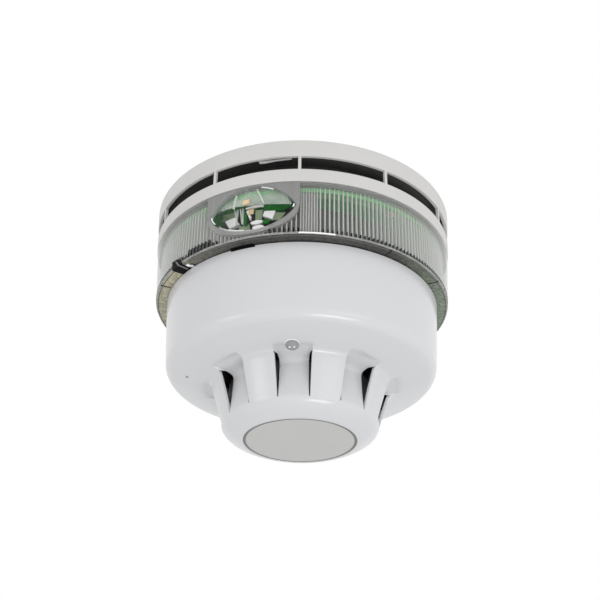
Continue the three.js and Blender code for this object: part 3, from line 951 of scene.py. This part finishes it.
@dataclass
class Beacon:
    """The clear ribbed ring, its oval window, and what shows through them."""

    top: float = high_z("lens_ring")
    bottom: float = low_z("lens_ring")
    top_radius: float = reach("lens_ring")
    bottom_radius: float = 54.6
    wall: float = 1.3
    flange_bore: float = 44.0
    window_bearing: float = -19.2
    window_height: float = -26.3
    window_half_width: float = 15.9
    window_half_height: float = 8.55
    window_thickness: float = 1.5
    bezel_half_width: float = 17.2
    bezel_half_height: float = 9.9
    patch_half_angle: float = 18.0
    spokes: int = 128
    rib_start: float = 6.3
    rib_pitch: float = 1.73
    rib_width: float = 0.5
    ribs_before_latch: int = 171
    ribs_over_latch: int = 6
    fine_rib_angle: float = 7.0
    rings: int = 14
    swell: float = 1.0
    tick_bearings: tuple[float, ...] = (-69.5, 34.0, 63.0)
    latch_bearing: float = -53.4

    def wall_radius(self, height: float) -> float:
        """The ring's outer radius at a height: it tapers down."""
        share = (self.top - height) / (self.top - self.bottom)
        return self.top_radius + (self.bottom_radius - self.top_radius) * share

    def window_edge(self, angle: float) -> tuple[float, float]:
        """The window's outline: an oval whose ends draw in to blunt points.

        Args:
            angle: the direction from its centre, in radians.

        Returns:
            Millimetres across and up.
        """
        rise = math.sin(angle) * abs(math.sin(angle)) ** 0.44
        return self.window_half_width * math.cos(angle), self.window_half_height * rise

    def window_place(self, across: float, up: float, inset: float, swell: float = 0.0) -> Point:
        """A point on the window's surface.

        Args:
            across: millimetres along the ring from the window's centre line.
            up: millimetres above its centre.
            inset: depth below the outer surface.
            swell: how far this point stands proud.

        Returns:
            The place in metres.
        """
        bearing = self.window_bearing + math.degrees(across / self.top_radius)
        height = self.window_height + up
        return polar(self.wall_radius(height) - inset + swell, bearing, height)

    def plain_ring(self) -> None:
        """Makes the clear wall everywhere but round the window."""
        draft = Draft()
        levels = spread(self.top, self.bottom + 0.5 - self.top, 8)
        bearings = spread(self.window_bearing + self.patch_half_angle, 360 - 2 * self.patch_half_angle, 162)
        layers = []
        for inset in (0.0, self.wall):
            layers.append([draft.row([polar(self.wall_radius(z) - inset, b, z) for b in bearings])
                           for z in levels])
            draft.loft(layers[-1])
        outer, inner = layers
        for end in (0, -1):
            draft.strip(outer[end], inner[end])
            draft.strip([row[end] for row in outer], [row[end] for row in inner])
        hand_over(draft.build("clear_ring", 50), "lens", ("lens_ring",))

    def patch_loops(self, draft: Draft, inset: float) -> list[list[int]]:
        """Draws the surface between the window and the patch's border.

        Args:
            draft: the mesh being made.
            inset: depth below the outer surface.

        Returns:
            The loops of points, from the window outwards.
        """
        width = math.radians(self.patch_half_angle) * self.top_radius
        high, low = self.top - self.window_height, self.bottom + 0.5 - self.window_height
        loops: list[list[int]] = [[], [], [], []]
        for angle in directions(self.spokes):
            across, up = self.window_edge(angle)
            x = self.bezel_half_width * math.cos(angle)
            y = min(self.bezel_half_height * math.sin(angle), high - 0.25)
            stretch = min(width / max(abs(x), TINY), (high if y > 0 else -low) / max(abs(y), TINY))
            border = (x * stretch, y * stretch)
            middle = ((x + border[0]) / 2, (y + border[1]) / 2)
            for loop, place in zip(loops, ((across * 1.01, up * 1.015), (x, y), middle, border)):
                loop.append(draft.point(self.window_place(*place, inset)))
        draft.loft(loops, closed=True)
        return loops

    def window_patch(self) -> None:
        """Makes the wall round the window, frosted next to it and clear under it."""
        draft = Draft()
        outer, inner = [self.patch_loops(draft, inset) for inset in (0.0, self.wall)]
        for end in (0, -1):
            draft.strip(outer[end], inner[end], closed=True)
        patch = draft.build("window_surround", 50)
        for name in ("bezel", "lens"):
            patch.data.materials.append(paint(name))
        for polygon in patch.data.polygons:
            place = polygon.center / MM
            bearing = math.degrees(math.atan2(place.x, -place.y)) - self.window_bearing
            across, up = math.radians(bearing) * self.top_radius, place.z - self.window_height
            far = math.hypot(across / self.bezel_half_width, up / self.bezel_half_height)
            polygon.material_index = int(far > 0.995 and up < 0)
        hand_over(patch)

    def rims(self) -> None:
        """Makes the ring's top rim, its bright bottom edge with a painted highlight arc, and its underside in
        painted light and shade, with a painted shade line, a painted shade slot and its marks.
        """
        rim, top, low, high = self.bottom_radius, self.top_radius, self.bottom, self.top
        crest = rounded([(top - 1.6, high - 0.05, 0.1), (top - 0.1, high - 0.05, 0.1),
                         (top - 0.12, high - 0.45, 0.1), (top - 1.6, high - 0.45, 0.1)])
        hand_over(turned("clear_top_rim", crest), "bezel")
        edge = rounded([(rim - 0.7, low + 1.15, 0.15), (rim + 0.02, low + 1.15, 0.25),
                        (rim + 0.02, low + 0.5, 0.3), (rim - 0.7, low + 0.4, 0.15)])
        hand_over(turned("clear_bottom_edge", edge), "edge")
        # painted highlight: a short bright white arc where the bottom edge catches the light
        shine = arc_block("polished_edge", rim - 0.6, rim + 0.08, low + 1.1, low + 0.55, 5.0, 6.6, 0.12)
        hand_over(shine, "reflector")
        flange = rounded([(rim - 0.35, low + 0.5, 0.15), (rim - 0.45, low, 0.3),
                          (self.flange_bore, low, 0.2), (self.flange_bore, low + 0.9, 0.2),
                          (rim - 1.5, low + 0.9, 0.3)])
        # the underside carries painted light and shade and painted reflections
        hand_over(turned("clear_underside", flange, sharp=50), "flange")
        # painted shade: a thin dark ring along the step under the flange
        line = rounded([(rim - 0.95, low + 0.3, 0), (rim - 0.55, low + 0.3, 0),
                        (rim - 0.55, low - 0.05, 0.05), (rim - 0.95, low - 0.05, 0.05)])
        hand_over(turned("flange_dark_line", line), "smoke")
        # painted shade: a black block for the shaded recess between the lens and the head
        slot = arc_block("flange_key_slot", 50.3, 51.4, low + 0.3, low - 0.1, -23.9, 5.1, 0.1)
        hand_over(slot, "black")
        for index, bearing in enumerate(self.tick_bearings, start=1):
            tick = arc_block(f"flange_tick_{index}", 50.9, rim - 0.1, low + 0.3, low - 0.08, bearing, 0.25,
                             0.05)
            hand_over(tick, "black")

    def rib_row(self, name: str, depth: tuple[float, float], height: float, share: float, edge: float,
                foot: float, count: int, start: float, pitch: float, clip: Clip = Clip()) -> None:
        """Makes a row of clear ribs, or, where it stands proud, of black blocks that paint the shade in the
        gaps between their feet.

        Args:
            name: the new piece's name.
            depth: how far its back and front lie from the ring's lower radius.
            height: its height in millimetres.
            share: its width as a share of a rib's.
            edge: the rounding of its edges.
            foot: the height that it stands on.
            count: how many there are.
            start: the first one's bearing.
            pitch: degrees from one to the next.
            clip: the oval that clips their tops.
        """
        rim = self.bottom_radius
        half = math.degrees(self.rib_width / 2 / rim) * share
        template = arc_block(name + "_one", rim + depth[0], rim + depth[1], height, 0, 0, half, edge)
        # painted shade: a row that stands proud is black, for the dark gaps between the ribs' feet
        slot, finish = (Slot.DARK, "black") if depth[1] > 0 else (Slot.CLEAR, "rib")
        ROWS.build(name, template, foot, slot, finish, count, start, pitch, clip)

    def ribs(self) -> None:
        """Makes the upright ribs, cut short under the window and over the latch, and the comb of painted
        shade between their feet.
        """
        start, pitch, rim = self.rib_start, self.rib_pitch, self.bottom_radius
        foot, comb_foot, perch = self.bottom + 1.1, self.bottom + 1.15, high_z("release_latch") + 0.3
        height, deep = self.top - self.bottom - 1.6, (-2.3, -1.22)
        before = self.ribs_before_latch
        after = before + self.ribs_over_latch
        rest = int((360 - self.fine_rib_angle) / pitch) - after
        under_window = Clip(self.window_bearing + 360, 17.8, 0.60, 0.54)
        self.rib_row("prism_ribs", deep, height, 1, 0.15, foot, before, start, pitch)
        self.rib_row("prism_ribs_by_window", deep, height, 1, 0.15, foot, rest, start + pitch * after, pitch,
                     under_window)
        self.rib_row("prism_ribs_over_latch", deep, self.top - 0.5 - perch, 1, 0.15, perch, after - before,
                     start + pitch * before, pitch)
        self.rib_row("fine_ribs", (-1.9, -1.22), height, 0.62, 0.1, foot, 7, -0.9, 1.0)
        panel = arc_block("fine_rib_panel", rim - 2.4, rim - 2.1, self.top - 0.3, foot, 2.2, 3.4, 0.05)
        hand_over(panel, "haze")
        # painted shade: black blocks in the gaps between the ribs' feet
        for name, proud, tall, share, count, first in (
                ("comb_slots", 0.12, 1.3, 0.8, 186, start + pitch / 2),
                ("comb_slots_front", 0.12, 1.7, 0.9, 7, start + pitch * 197.5),
                ("comb_slots_tall", 0.14, 2.9, 1.3, 7, start + pitch * 177.5 - 360)):
            self.rib_row(name, (-1.0, proud), tall, share, 0.08, comb_foot, count, first, pitch)

    def window(self) -> None:
        """Makes the oval window with its thick wall, its upper facet and two bright ridges."""
        draft, layers = Draft(), []
        edge = [self.window_edge(angle) for angle in directions(self.spokes)]
        for inset in (0.02, self.window_thickness):
            rows = []
            for ring in range(self.rings + 1):
                share = math.sin(ring / self.rings * math.pi / 2)
                proud = self.swell * (1 - share ** 2)
                rows.append(draft.row([self.window_place(share * x * 0.995, share * y * 0.99, inset, proud)
                                       for x, y in edge]))
            draft.loft(rows[1:], closed=True)
            for spoke in range(self.spokes):
                draft.faces.append((rows[0][0], rows[1][spoke], rows[1][(spoke + 1) % self.spokes]))
            layers.append(rows)
        draft.strip(layers[0][-1], layers[1][-1], closed=True)
        hand_over(draft.build("oval_window", 50), "dome", ("beacon_dome",))
        veil = [(-34.6, -23.2), (-32.0, -21.2), (-28.5, -18.5), (-25.0, -17.5), (-19.2, -17.4),
                (-13.0, -17.6), (-9.0, -19.0), (-6.2, -21.5), (-4.4, -24.2), (-4.2, -24.9),
                (-14.0, -23.9), (-19.3, -23.5), (-25.5, -23.0), (-34.2, -22.6)]
        hand_over(facet("window_upper_facet", veil, 53.1, 53.3, 0.05), "veil")
        ridges = {"right": [(-17.6, -17.9), (-17.0, -17.9), (-14.3, -24.0), (-14.9, -24.0)],
                  "left": [(-25.7, -18.6), (-25.4, -18.6), (-26.4, -24.0), (-26.8, -24.0)]}
        facets("window_ridge_", ridges, 53.3, 54.3, "rib", 0.1)

    def glints(self) -> None:
        """Makes the bright slivers where the window's moulded edge catches the light."""
        spans = ((-12.0, 5.0), (58.0, 75.0), (173.0, 206.0), (238.0, 262.0))
        section = ((0.957, 0.3), (0.985, 0.3), (0.985, -0.1), (0.957, -0.16))
        for index, (start, end) in enumerate(spans, start=1):
            draft = Draft()
            edge = [self.window_edge(math.radians(angle)) for angle in spread(start, end - start, 12)]
            draft.bar([draft.row([self.window_place(x * share, y * share, inset) for x, y in edge])
                       for share, inset in section])
            hand_over(draft.build(f"window_glint_{index}"), "reflector")

    def optics(self) -> None:
        """Makes the light's cups, blocks, tray and clear pins behind the window, and the painted light and
        shade of the board seen through it.
        """
        white = {
            "block_right": (48.6, 50.0, [(-15.6, -24.5), (-11.0, -24.9), (-12.2, -28.3), (-16.2, -26.5)]),
            "block_left": (48.4, 50.0, [(-33.3, -25.0), (-28.2, -24.6), (-26.3, -28.1), (-30.9, -28.6)]),
            "holder": (49.0, 50.1, [(-23.4, -23.4), (-22.2, -23.0), (-22.2, -25.2), (-21.2, -25.5),
                                    (-21.5, -27.4)]),
            "bar": (49.4, 50.1, [(-23.8, -21.9), (-17.6, -21.2), (-16.0, -20.9), (-16.0, -22.8),
                                 (-17.4, -22.4), (-23.6, -22.5)])}
        for name, (inner, outer, corners) in white.items():
            hand_over(facet(f"optic_{name}", corners, inner, outer), "reflector")
        for index, (bearing, height, wide) in enumerate(((-18.8, -28.5, 2.7), (-18.2, -30.6, 2.5)), start=1):
            oval = [(bearing + wide * math.cos(a), height + 0.85 * math.sin(a)) for a in directions(24)]
            hand_over(facet(f"optic_cup_{index}", oval, 48.8, 49.8, 0.2), "reflector",
                      ("beacon_reflector",) if index == 1 else ())
        light = [(-22.2, -23.3), (-20.1, -22.9), (-20.0, -24.8), (-21.9, -25.2)]
        hand_over(facet("inner_light", light, 49.6, 50.4), "phosphor")
        # painted reflection: the inner light's image in the window's facet
        image = [(-23.2, -21.2), (-20.5, -20.9), (-20.4, -22.7), (-23.1, -23.0)]
        hand_over(facet("window_light_image", image, 53.3, 53.45, 0.05), "phosphor")
        # painted light: pale green patches where the lit board shows through the clear optics
        sage = {"left": [(-37.8, -20.9), (-29.0, -21.8), (-29.2, -24.4), (-36.4, -23.6)],
                "middle": [(-19.9, -23.0), (-16.3, -23.4), (-16.9, -27.2), (-19.6, -27.4)],
                "low": [(-27.0, -28.4), (-22.2, -28.4), (-22.0, -31.2), (-27.0, -30.8)],
                "right": [(-11.4, -25.0), (-7.0, -25.4), (-9.4, -28.4), (-12.0, -28.2)]}
        facets("sage_facet_", sage, 48.6, 49.2, "sage")
        # painted shade: dark green where the board lies in shadow behind the clear optics
        green = {"left": [(-39.0, -21.4), (-35.2, -21.6), (-34.8, -23.2), (-37.4, -24.0)],
                 "right": [(-15.8, -27.6), (-12.9, -28.6), (-14.2, -29.8), (-16.4, -29.6)],
                 "middle": [(-24.4, -22.6), (-23.2, -23.6), (-23.0, -29.2), (-24.6, -28.6)],
                 "band_left": [(-38.6, -19.2), (-28.0, -20.4), (-24.6, -20.7), (-24.6, -22.3), (-27.9, -22.0),
                               (-38.4, -20.8)],
                 "band_right": [(-15.9, -21.4), (-4.8, -22.5), (-5.4, -23.6), (-8.2, -25.0), (-12.0, -24.6),
                                (-15.9, -23.6)]}
        facets("green_facet_", green, 49.2, 49.9, "shard")
        leans = ((-28.6, 1.6), (-27.2, -0.6), (-26.0, 1.0), (-24.9, 0.2))
        pins = {str(index): [(b, -22.0), (b + 0.45, -22.0), (b + lean + 0.45, -28.6), (b + lean, -28.6)]
                for index, (b, lean) in enumerate(leans, start=1)}
        facets("clear_pin_", pins, 49.6, 50.6, "rib")
        tray = [(-36.0, -26.2), (-34.0, -27.6), (-30.0, -29.7), (-26.0, -30.9), (-20.0, -31.6),
                (-14.0, -30.9), (-13.8, -32.0), (-20.0, -32.8), (-26.0, -32.0), (-30.0, -30.7),
                (-34.0, -28.7), (-36.2, -27.2)]
        hand_over(facet("optic_tray", tray, 49.0, 50.2), "reflector")

    def board(self) -> None:
        """Makes the annular board, with its cable hole."""
        loops = [circle(reach("beacon_board"), steps=180), circle(6, 0, 24, 48)]
        board = flat_plate("beacon_board_panel", loops, high_z("beacon_board"), low_z("beacon_board"), 0.05)
        hand_over(board, "board", ("beacon_board",))

    def latch(self) -> None:
        """Makes the latch pocket, black as the painted shade of its opening, a grey painted highlight that
        rides the latch, and the pale pin beside it with its black painted shade slot.
        """
        middle, low = self.latch_bearing, self.bottom
        pocket = [(middle - 4.3, -34.4), (middle + 0.2, -35.0), (middle + 2.3, -36.8), (middle + 2.7, -38.2),
                  (middle - 3.8, -38.2)]
        # painted shade: a black block where the latch opening lies in shadow
        hand_over(facet("latch_pocket", pocket, 50.2, 54.85, 0.1), "black")
        grey_glint = [(middle - 1.6, -35.6), (middle - 0.9, -35.6), (middle + 1.6, -38.3), (middle + 0.8, -38.3)]
        # painted highlight: a grey diagonal fin for the glint inside the opening
        hand_over(facet("latch_grip", grey_glint, 51.0, 54.95, 0.08), "groove", body=Body.LATCH)
        pin = arc_block("latch_stop_pin", 51.5, 53.0, low + 0.4, low - 0.22, -49.9, 0.75, 0.15)
        hand_over(pin, "reflector")
        # painted shade: a black slot beside the pin
        shadow = arc_block("latch_stop_slot", 50.7, 52.2, low + 0.4, low - 0.1, -48.4, 0.7, 0.05)
        hand_over(shadow, "black")

    def build(self) -> None:
        """Makes every piece."""
        self.plain_ring()
        self.window_patch()
        self.rims()
        self.ribs()
        self.window()
        self.glints()
        self.optics()
        self.board()
        self.latch()


@dataclass
class Head:
    """The detector head's cover with its fluted nose, face disc, key hole and indicator."""

    top: float = high_z("head_cover")
    radius: float = reach("head_cover")
    nose_bottom: float = low_z("head_cover")
    wall: float = 1.0
    scoop_rows: int = 8
    slit_rows: int = 20
    flutes: int = 8
    flute_bearing: float = -5.0
    petal_start: float = 11.5
    floor_half: float = 10.75
    shoulder: tuple[float, float] = (35.8, -69.05)
    floor_edge: tuple[float, float] = (30.2, -69.95)
    flute_tip: tuple[float, float] = (28.1, -84.9)
    slit_top: float = -70.1
    groove_radius: float = 20.2
    notch_bearing: float = -23.8
    key_bearing: float = -83.0
    seat_tube: float = 0.17
    seat_slope: float = 0.235

    def upper_outline(self) -> Outline:
        """The outer outline from the top rim to the shoulder.

        Returns:
            Its (radius, height) points in millimetres.
        """
        wall = [(self.radius, self.top), (50.25, -45), (50.0, -50), (49.7, -56)]
        rim = [(45.3 + 4 * math.cos(a), -62.6 + 4 * math.sin(a)) for a in
               map(math.radians, spread(0, -76, 10))]
        return wall + rim + [(44, -67.05), (41.5, -67.68), (39, -68.3), (37.2, -68.75), self.shoulder]

    def petal_outline(self) -> Outline:
        """The outer outline of a petal from the shoulder to the flutes' tip.

        Returns:
            Its points.
        """
        root = rounded([(*self.shoulder, 0), (32.7, -69.9, 2.6), (30.1, -78, 4), (*self.flute_tip, 0)],
                       steps=8, closed=False)
        slit = next(i for i, point in enumerate(root) if point[1] < self.slit_top)
        return self.joined(root[:slit + 1], root[slit:])

    def floor_outline(self) -> Outline:
        """The outline of a flute's scoop and floor, between the same two ends.

        Returns:
            Its points.
        """
        scoop = rounded([(*self.shoulder, 0), (34.0, -68.95, 1.6), (*self.floor_edge, 0)], steps=6,
                        closed=False)
        floor = rounded([(*self.floor_edge, 0), (27.1, -70.95, 2.6), (27.4, -77.5, 3),
                         (*self.flute_tip, 0)], steps=8, closed=False)
        return self.joined(scoop, floor)

    def joined(self, scoop: Outline, slit: Outline) -> Outline:
        """Two outlines end to end, evenly spaced in as many rows as the scoops and the slits have."""
        return self.spaced(scoop, self.scoop_rows + 1) + self.spaced(slit, self.slit_rows)[1:]

    @staticmethod
    def spaced(outline: Outline, count: int) -> Outline:
        """The same outline with evenly spaced points.

        Args:
            outline: its points.
            count: how many points to give back.

        Returns:
            The new points.
        """
        lengths = [0.0]
        for first, second in zip(outline, outline[1:]):
            lengths.append(lengths[-1] + math.dist(first, second))
        result = []
        for step in range(count):
            want = lengths[-1] * step / (count - 1)
            index = max(i for i, length in enumerate(lengths) if length <= want + 1e-9)
            index = min(index, len(outline) - 2)
            share = (want - lengths[index]) / (lengths[index + 1] - lengths[index])
            first, second = outline[index], outline[index + 1]
            result.append(tuple(a + (b - a) * share for a, b in zip(first, second)))
        return result

    def tip_outline(self) -> Outline:
        """The outer outline from the flutes' tip to the groove.

        Returns:
            Its points.
        """
        low, points = self.nose_bottom, []
        for share in spread(0, 1, 10)[1:]:
            first, bend, last = (1 - share) ** 2, 2 * share * (1 - share), share ** 2
            points.append((self.flute_tip[0] * first + 27.5 * bend + 20.9 * last,
                           self.flute_tip[1] * first - 87.7 * bend + low * last))
        return points + [(20.25, low), (self.groove_radius, low + 0.25), (self.groove_radius, low + 1.6)]

    def bearings(self) -> list[tuple[float, bool]]:
        """Bearings of the columns round the cover, each with whether it lies on a flute's floor.

        Returns:
            The bearings in degrees, each with its flag.
        """
        pitch = 360 / self.flutes
        result = []
        for flute in range(self.flutes):
            centre = self.flute_bearing + flute * pitch
            floor = spread(centre - self.floor_half, 2 * self.floor_half, 12)
            petal = spread(centre + self.petal_start, pitch - 2 * self.petal_start, 14)
            result += [(bearing, True) for bearing in floor] + [(bearing, False) for bearing in petal]
        return result

    def cover(self) -> None:
        """Makes the cover: wall, flange, petals, flute floors and nose rim as one shell with open slits."""
        draft = Draft()
        petal, floor, columns = self.petal_outline(), self.floor_outline(), self.bearings()
        bands = []
        for outline in (self.upper_outline(), petal[-1:] + self.tip_outline()):
            bands.append([draft.row([polar(r, b, z) for b, _ in columns]) for r, z in outline])
            draft.loft(bands[-1], closed=True)
        above, below = bands[0][-1], bands[1][0]
        middle: list[list[int]] = []
        for index, (bearing, on_floor) in enumerate(columns):
            outline = floor if on_floor else petal
            inside = draft.row([polar(r, bearing, z) for r, z in outline[1:-1]])
            middle.append([above[index], *inside, below[index]])
        for index in range(len(columns)):
            after = (index + 1) % len(columns)
            rows = None if columns[index][1] == columns[after][1] else self.scoop_rows + 1
            draft.strip(middle[index][:rows], middle[after][:rows])
        shell = draft.build("detector_cover", 40)
        thick = shell.modifiers.new("wall", "SOLIDIFY")
        thick.thickness = self.wall * MM
        thick.offset = -1
        thick.use_even_offset = False
        hand_over(soften(shell, 0.22), "head", ("head_cover",), Body.HEAD)

    def face(self) -> None:
        """Makes the face disc in its groove, and the dark pieces that paint the shade seen through the
        cover's openings, in its groove, key hole and rim notch.
        """
        low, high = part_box("face_disc")
        edge, back, front = high.x / MM, high.z / MM, low.z / MM + 0.02
        disc = rounded([(0, back, 0), (edge, back, 0.1), (edge, front, 0.25), (0, front, 0)], closed=False)
        hand_over(turned("nose_face_disc", disc), "face", ("face_disc",), Body.HEAD)
        # painted shade: a dark ring behind the slits, where the inside lies in shadow
        liner = turned("flute_liner", [(25.6, -70.4), (26.0, -70.4), (26.6, -84.6), (26.2, -84.6)])
        hand_over(liner, "slate", body=Body.HEAD)
        # painted shade: a grey block for the key hole's shaded inside
        key = arc_block("lock_key_hole", 40.3, 41.7, -67.2, -67.87, self.key_bearing, 1.0, 0.1)
        hand_over(key, "pipe", body=Body.HEAD)
        # painted shade: a black block for the shaded recess between the head's rim and the lens
        notch = arc_block("head_rim_notch", 49.6, self.radius + 0.08, self.top, self.top - 0.65,
                          self.notch_bearing, 5.2, 0.1)
        hand_over(notch, "black", body=Body.HEAD)
        # painted shade: a darker grey ring at the bottom of the groove
        groove = [(19.2, -89.3), (20.5, -89.3), (20.5, -89.82), (19.2, -89.82)]
        hand_over(turned("face_groove_bed", groove), "groove", body=Body.HEAD)

    def indicator(self) -> None:
        """Makes the raised seat, painted white as a highlight, and the two bright cores of the indicator
        light.
        """
        low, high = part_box("indicator_lens")
        centre = (low + high) / 2
        radius, bearing = math.hypot(centre.x, centre.y) / MM, math.degrees(math.atan2(centre.x, -centre.y))
        lens_radius = (high.x - low.x) / MM / 2
        draft, loops = Draft(), []
        for around in directions(32):
            loop = []
            for across in directions(8):
                span = lens_radius + 0.1 + self.seat_tube * math.cos(across)
                far = radius + span * math.cos(around)
                side = math.degrees(span * math.sin(around) / radius)
                level = self.shoulder[1] - 0.02 + self.seat_slope * max(0.0, far - self.shoulder[0])
                loop.append(polar(far, bearing + side, level + self.seat_tube * math.sin(across)))
            loops.append(draft.row(loop))
        draft.loft(loops, closed=True, looped=True)
        # painted highlight: the raised lip is white for the bright crescent round the indicator
        hand_over(draft.build("indicator_seat", 60), "reflector", body=Body.HEAD)
        for name, lean in (("left", -1.25), ("right", 1.25)):
            core = arc_block(f"indicator_core_{name}", radius + 0.85, radius + 1.4, -70.6, low.z / MM + 0.2,
                             bearing + lean, 0.55, 0.2)
            hand_over(core, "reflector", body=Body.HEAD)

    def build(self) -> None:
        """Makes every piece."""
        self.cover()
        self.face()
        self.indicator()


@dataclass
class Inside:
    """Frame nodes that keep their shape and only get a finish."""

    by_slot: dict[str, str] = field(default_factory=lambda: {
        "housing_plastic": "housing", "head_plastic": "head", "face_disc": "face", "inner_plastic": "inner",
        "dark_plastic": "dark", "clear_lens": "lens", "board": "board", "phosphor": "phosphor",
        "reflector": "reflector", "steel": "steel", "brass": "brass", "ceramic": "ceramic",
        "black_plastic": "black", "red_plastic": "red", "bead": "bead", "translucent": "pipe"})
    # painted shade: these inside nodes sit in shadow and get darker finishes than their slots
    by_node: dict[str, str] = field(default_factory=lambda: {
        "heat_baffle": "slate", "detector_socket": "smoke"})

    def build(self) -> None:
        """Dresses every node by its slot, with a few of them darker than their slot as painted shade."""
        slots = {part["node"]: part["material_slot"] for part in frame["record"]["subparts"]}
        for name, node in frame["nodes"].items():
            finish = self.by_node.get(name, self.by_slot[slots[name]])
            node.data.materials.clear()
            node.data.materials.append(paint(finish))
            LOG.info("%s keeps its shape, in %s", name, finish)


@dataclass
class Studio:
    """Camera, soft lights, pale floor and bright surroundings."""

    distance: float = 0.4229
    elevation: float = 29.43
    yaw: float = -0.119
    roll: float = 0.863
    target_height: float = -0.03249
    focal: float = 66.92
    sensor: float = 36
    floor_half: float = 3.0
    floor_height: float = -0.9
    lamp_target: Point = (0, 0, -0.05)

    def camera(self) -> None:
        """Sets the camera below and in front of the unit, looking up at it."""
        rise, turn = math.radians(self.elevation), math.radians(self.yaw)
        data = bpy.data.cameras.new("camera")
        data.lens, data.sensor_width = self.focal, self.sensor
        data.clip_start, data.clip_end = 0.01, 20
        camera = linked("camera", data)
        camera.location = (0, -self.distance * math.cos(rise),
                           self.target_height - self.distance * math.sin(rise))
        look = Vector((math.sin(turn) * math.cos(rise), math.cos(turn) * math.cos(rise), math.sin(rise)))
        level = look.to_track_quat("-Z", "Y").to_matrix()
        spin = level @ Vector((0, 0, 1))
        camera.rotation_euler = (Matrix.Rotation(math.radians(self.roll), 3, spin) @ level).to_euler()
        bpy.context.scene.camera = camera

    def lamp(self, name: str, place: Point, size: float, power: float) -> None:
        """Adds a soft square lamp that faces the unit.

        Args:
            name: the lamp's name.
            place: where it stands, in metres.
            size: its side in metres.
            power: its power in watts.
        """
        data = bpy.data.lights.new(name, "AREA")
        data.size, data.energy = size, power
        lamp = linked(name, data)
        lamp.location = place
        aim = Vector(self.lamp_target) - Vector(place)
        lamp.rotation_euler = aim.to_track_quat("-Z", "Y").to_euler()

    def surroundings(self) -> None:
        """Sets the bright world and the pale floor."""
        world = bpy.data.worlds.new("studio")
        world.use_nodes = True
        sky = world.node_tree.nodes["Background"]
        sky.inputs["Color"].default_value = (1, 1, 1, 1)
        sky.inputs["Strength"].default_value = 1.0
        bpy.context.scene.world = world
        bpy.context.scene.view_settings.view_transform = "Standard"
        half, draft = self.floor_half, Draft()
        corners = ((-half, -half), (half, -half), (half, half), (-half, half))
        draft.faces.append(tuple(draft.row([(x, y, self.floor_height) for x, y in corners])))
        floor = draft.build("floor")
        floor.data.materials.append(MouldedPlastic("pale_floor", (0.8, 0.8, 0.8), 0.8, 5, 0.01).build())

    def build(self) -> None:
        """Makes the whole studio."""
        self.camera()
        self.surroundings()
        self.lamp("right_lamp", (0.62, -0.80, -0.17), 0.5, 0.7)
        self.lamp("left_lamp", (-0.80, -0.58, -0.16), 0.3, 0.7)
        self.lamp("low_lamp", (0.3, -0.5, -0.9), 0.5, 5.6)


def main() -> None:
    """Builds the studio and every sub-assembly in order."""
    logging.basicConfig(level=logging.INFO)
    for assembly in (Studio(), Inside(), SounderHousing(), Beacon(), Head()):
        assembly.build()


if __name__ == "__main__":
    main()
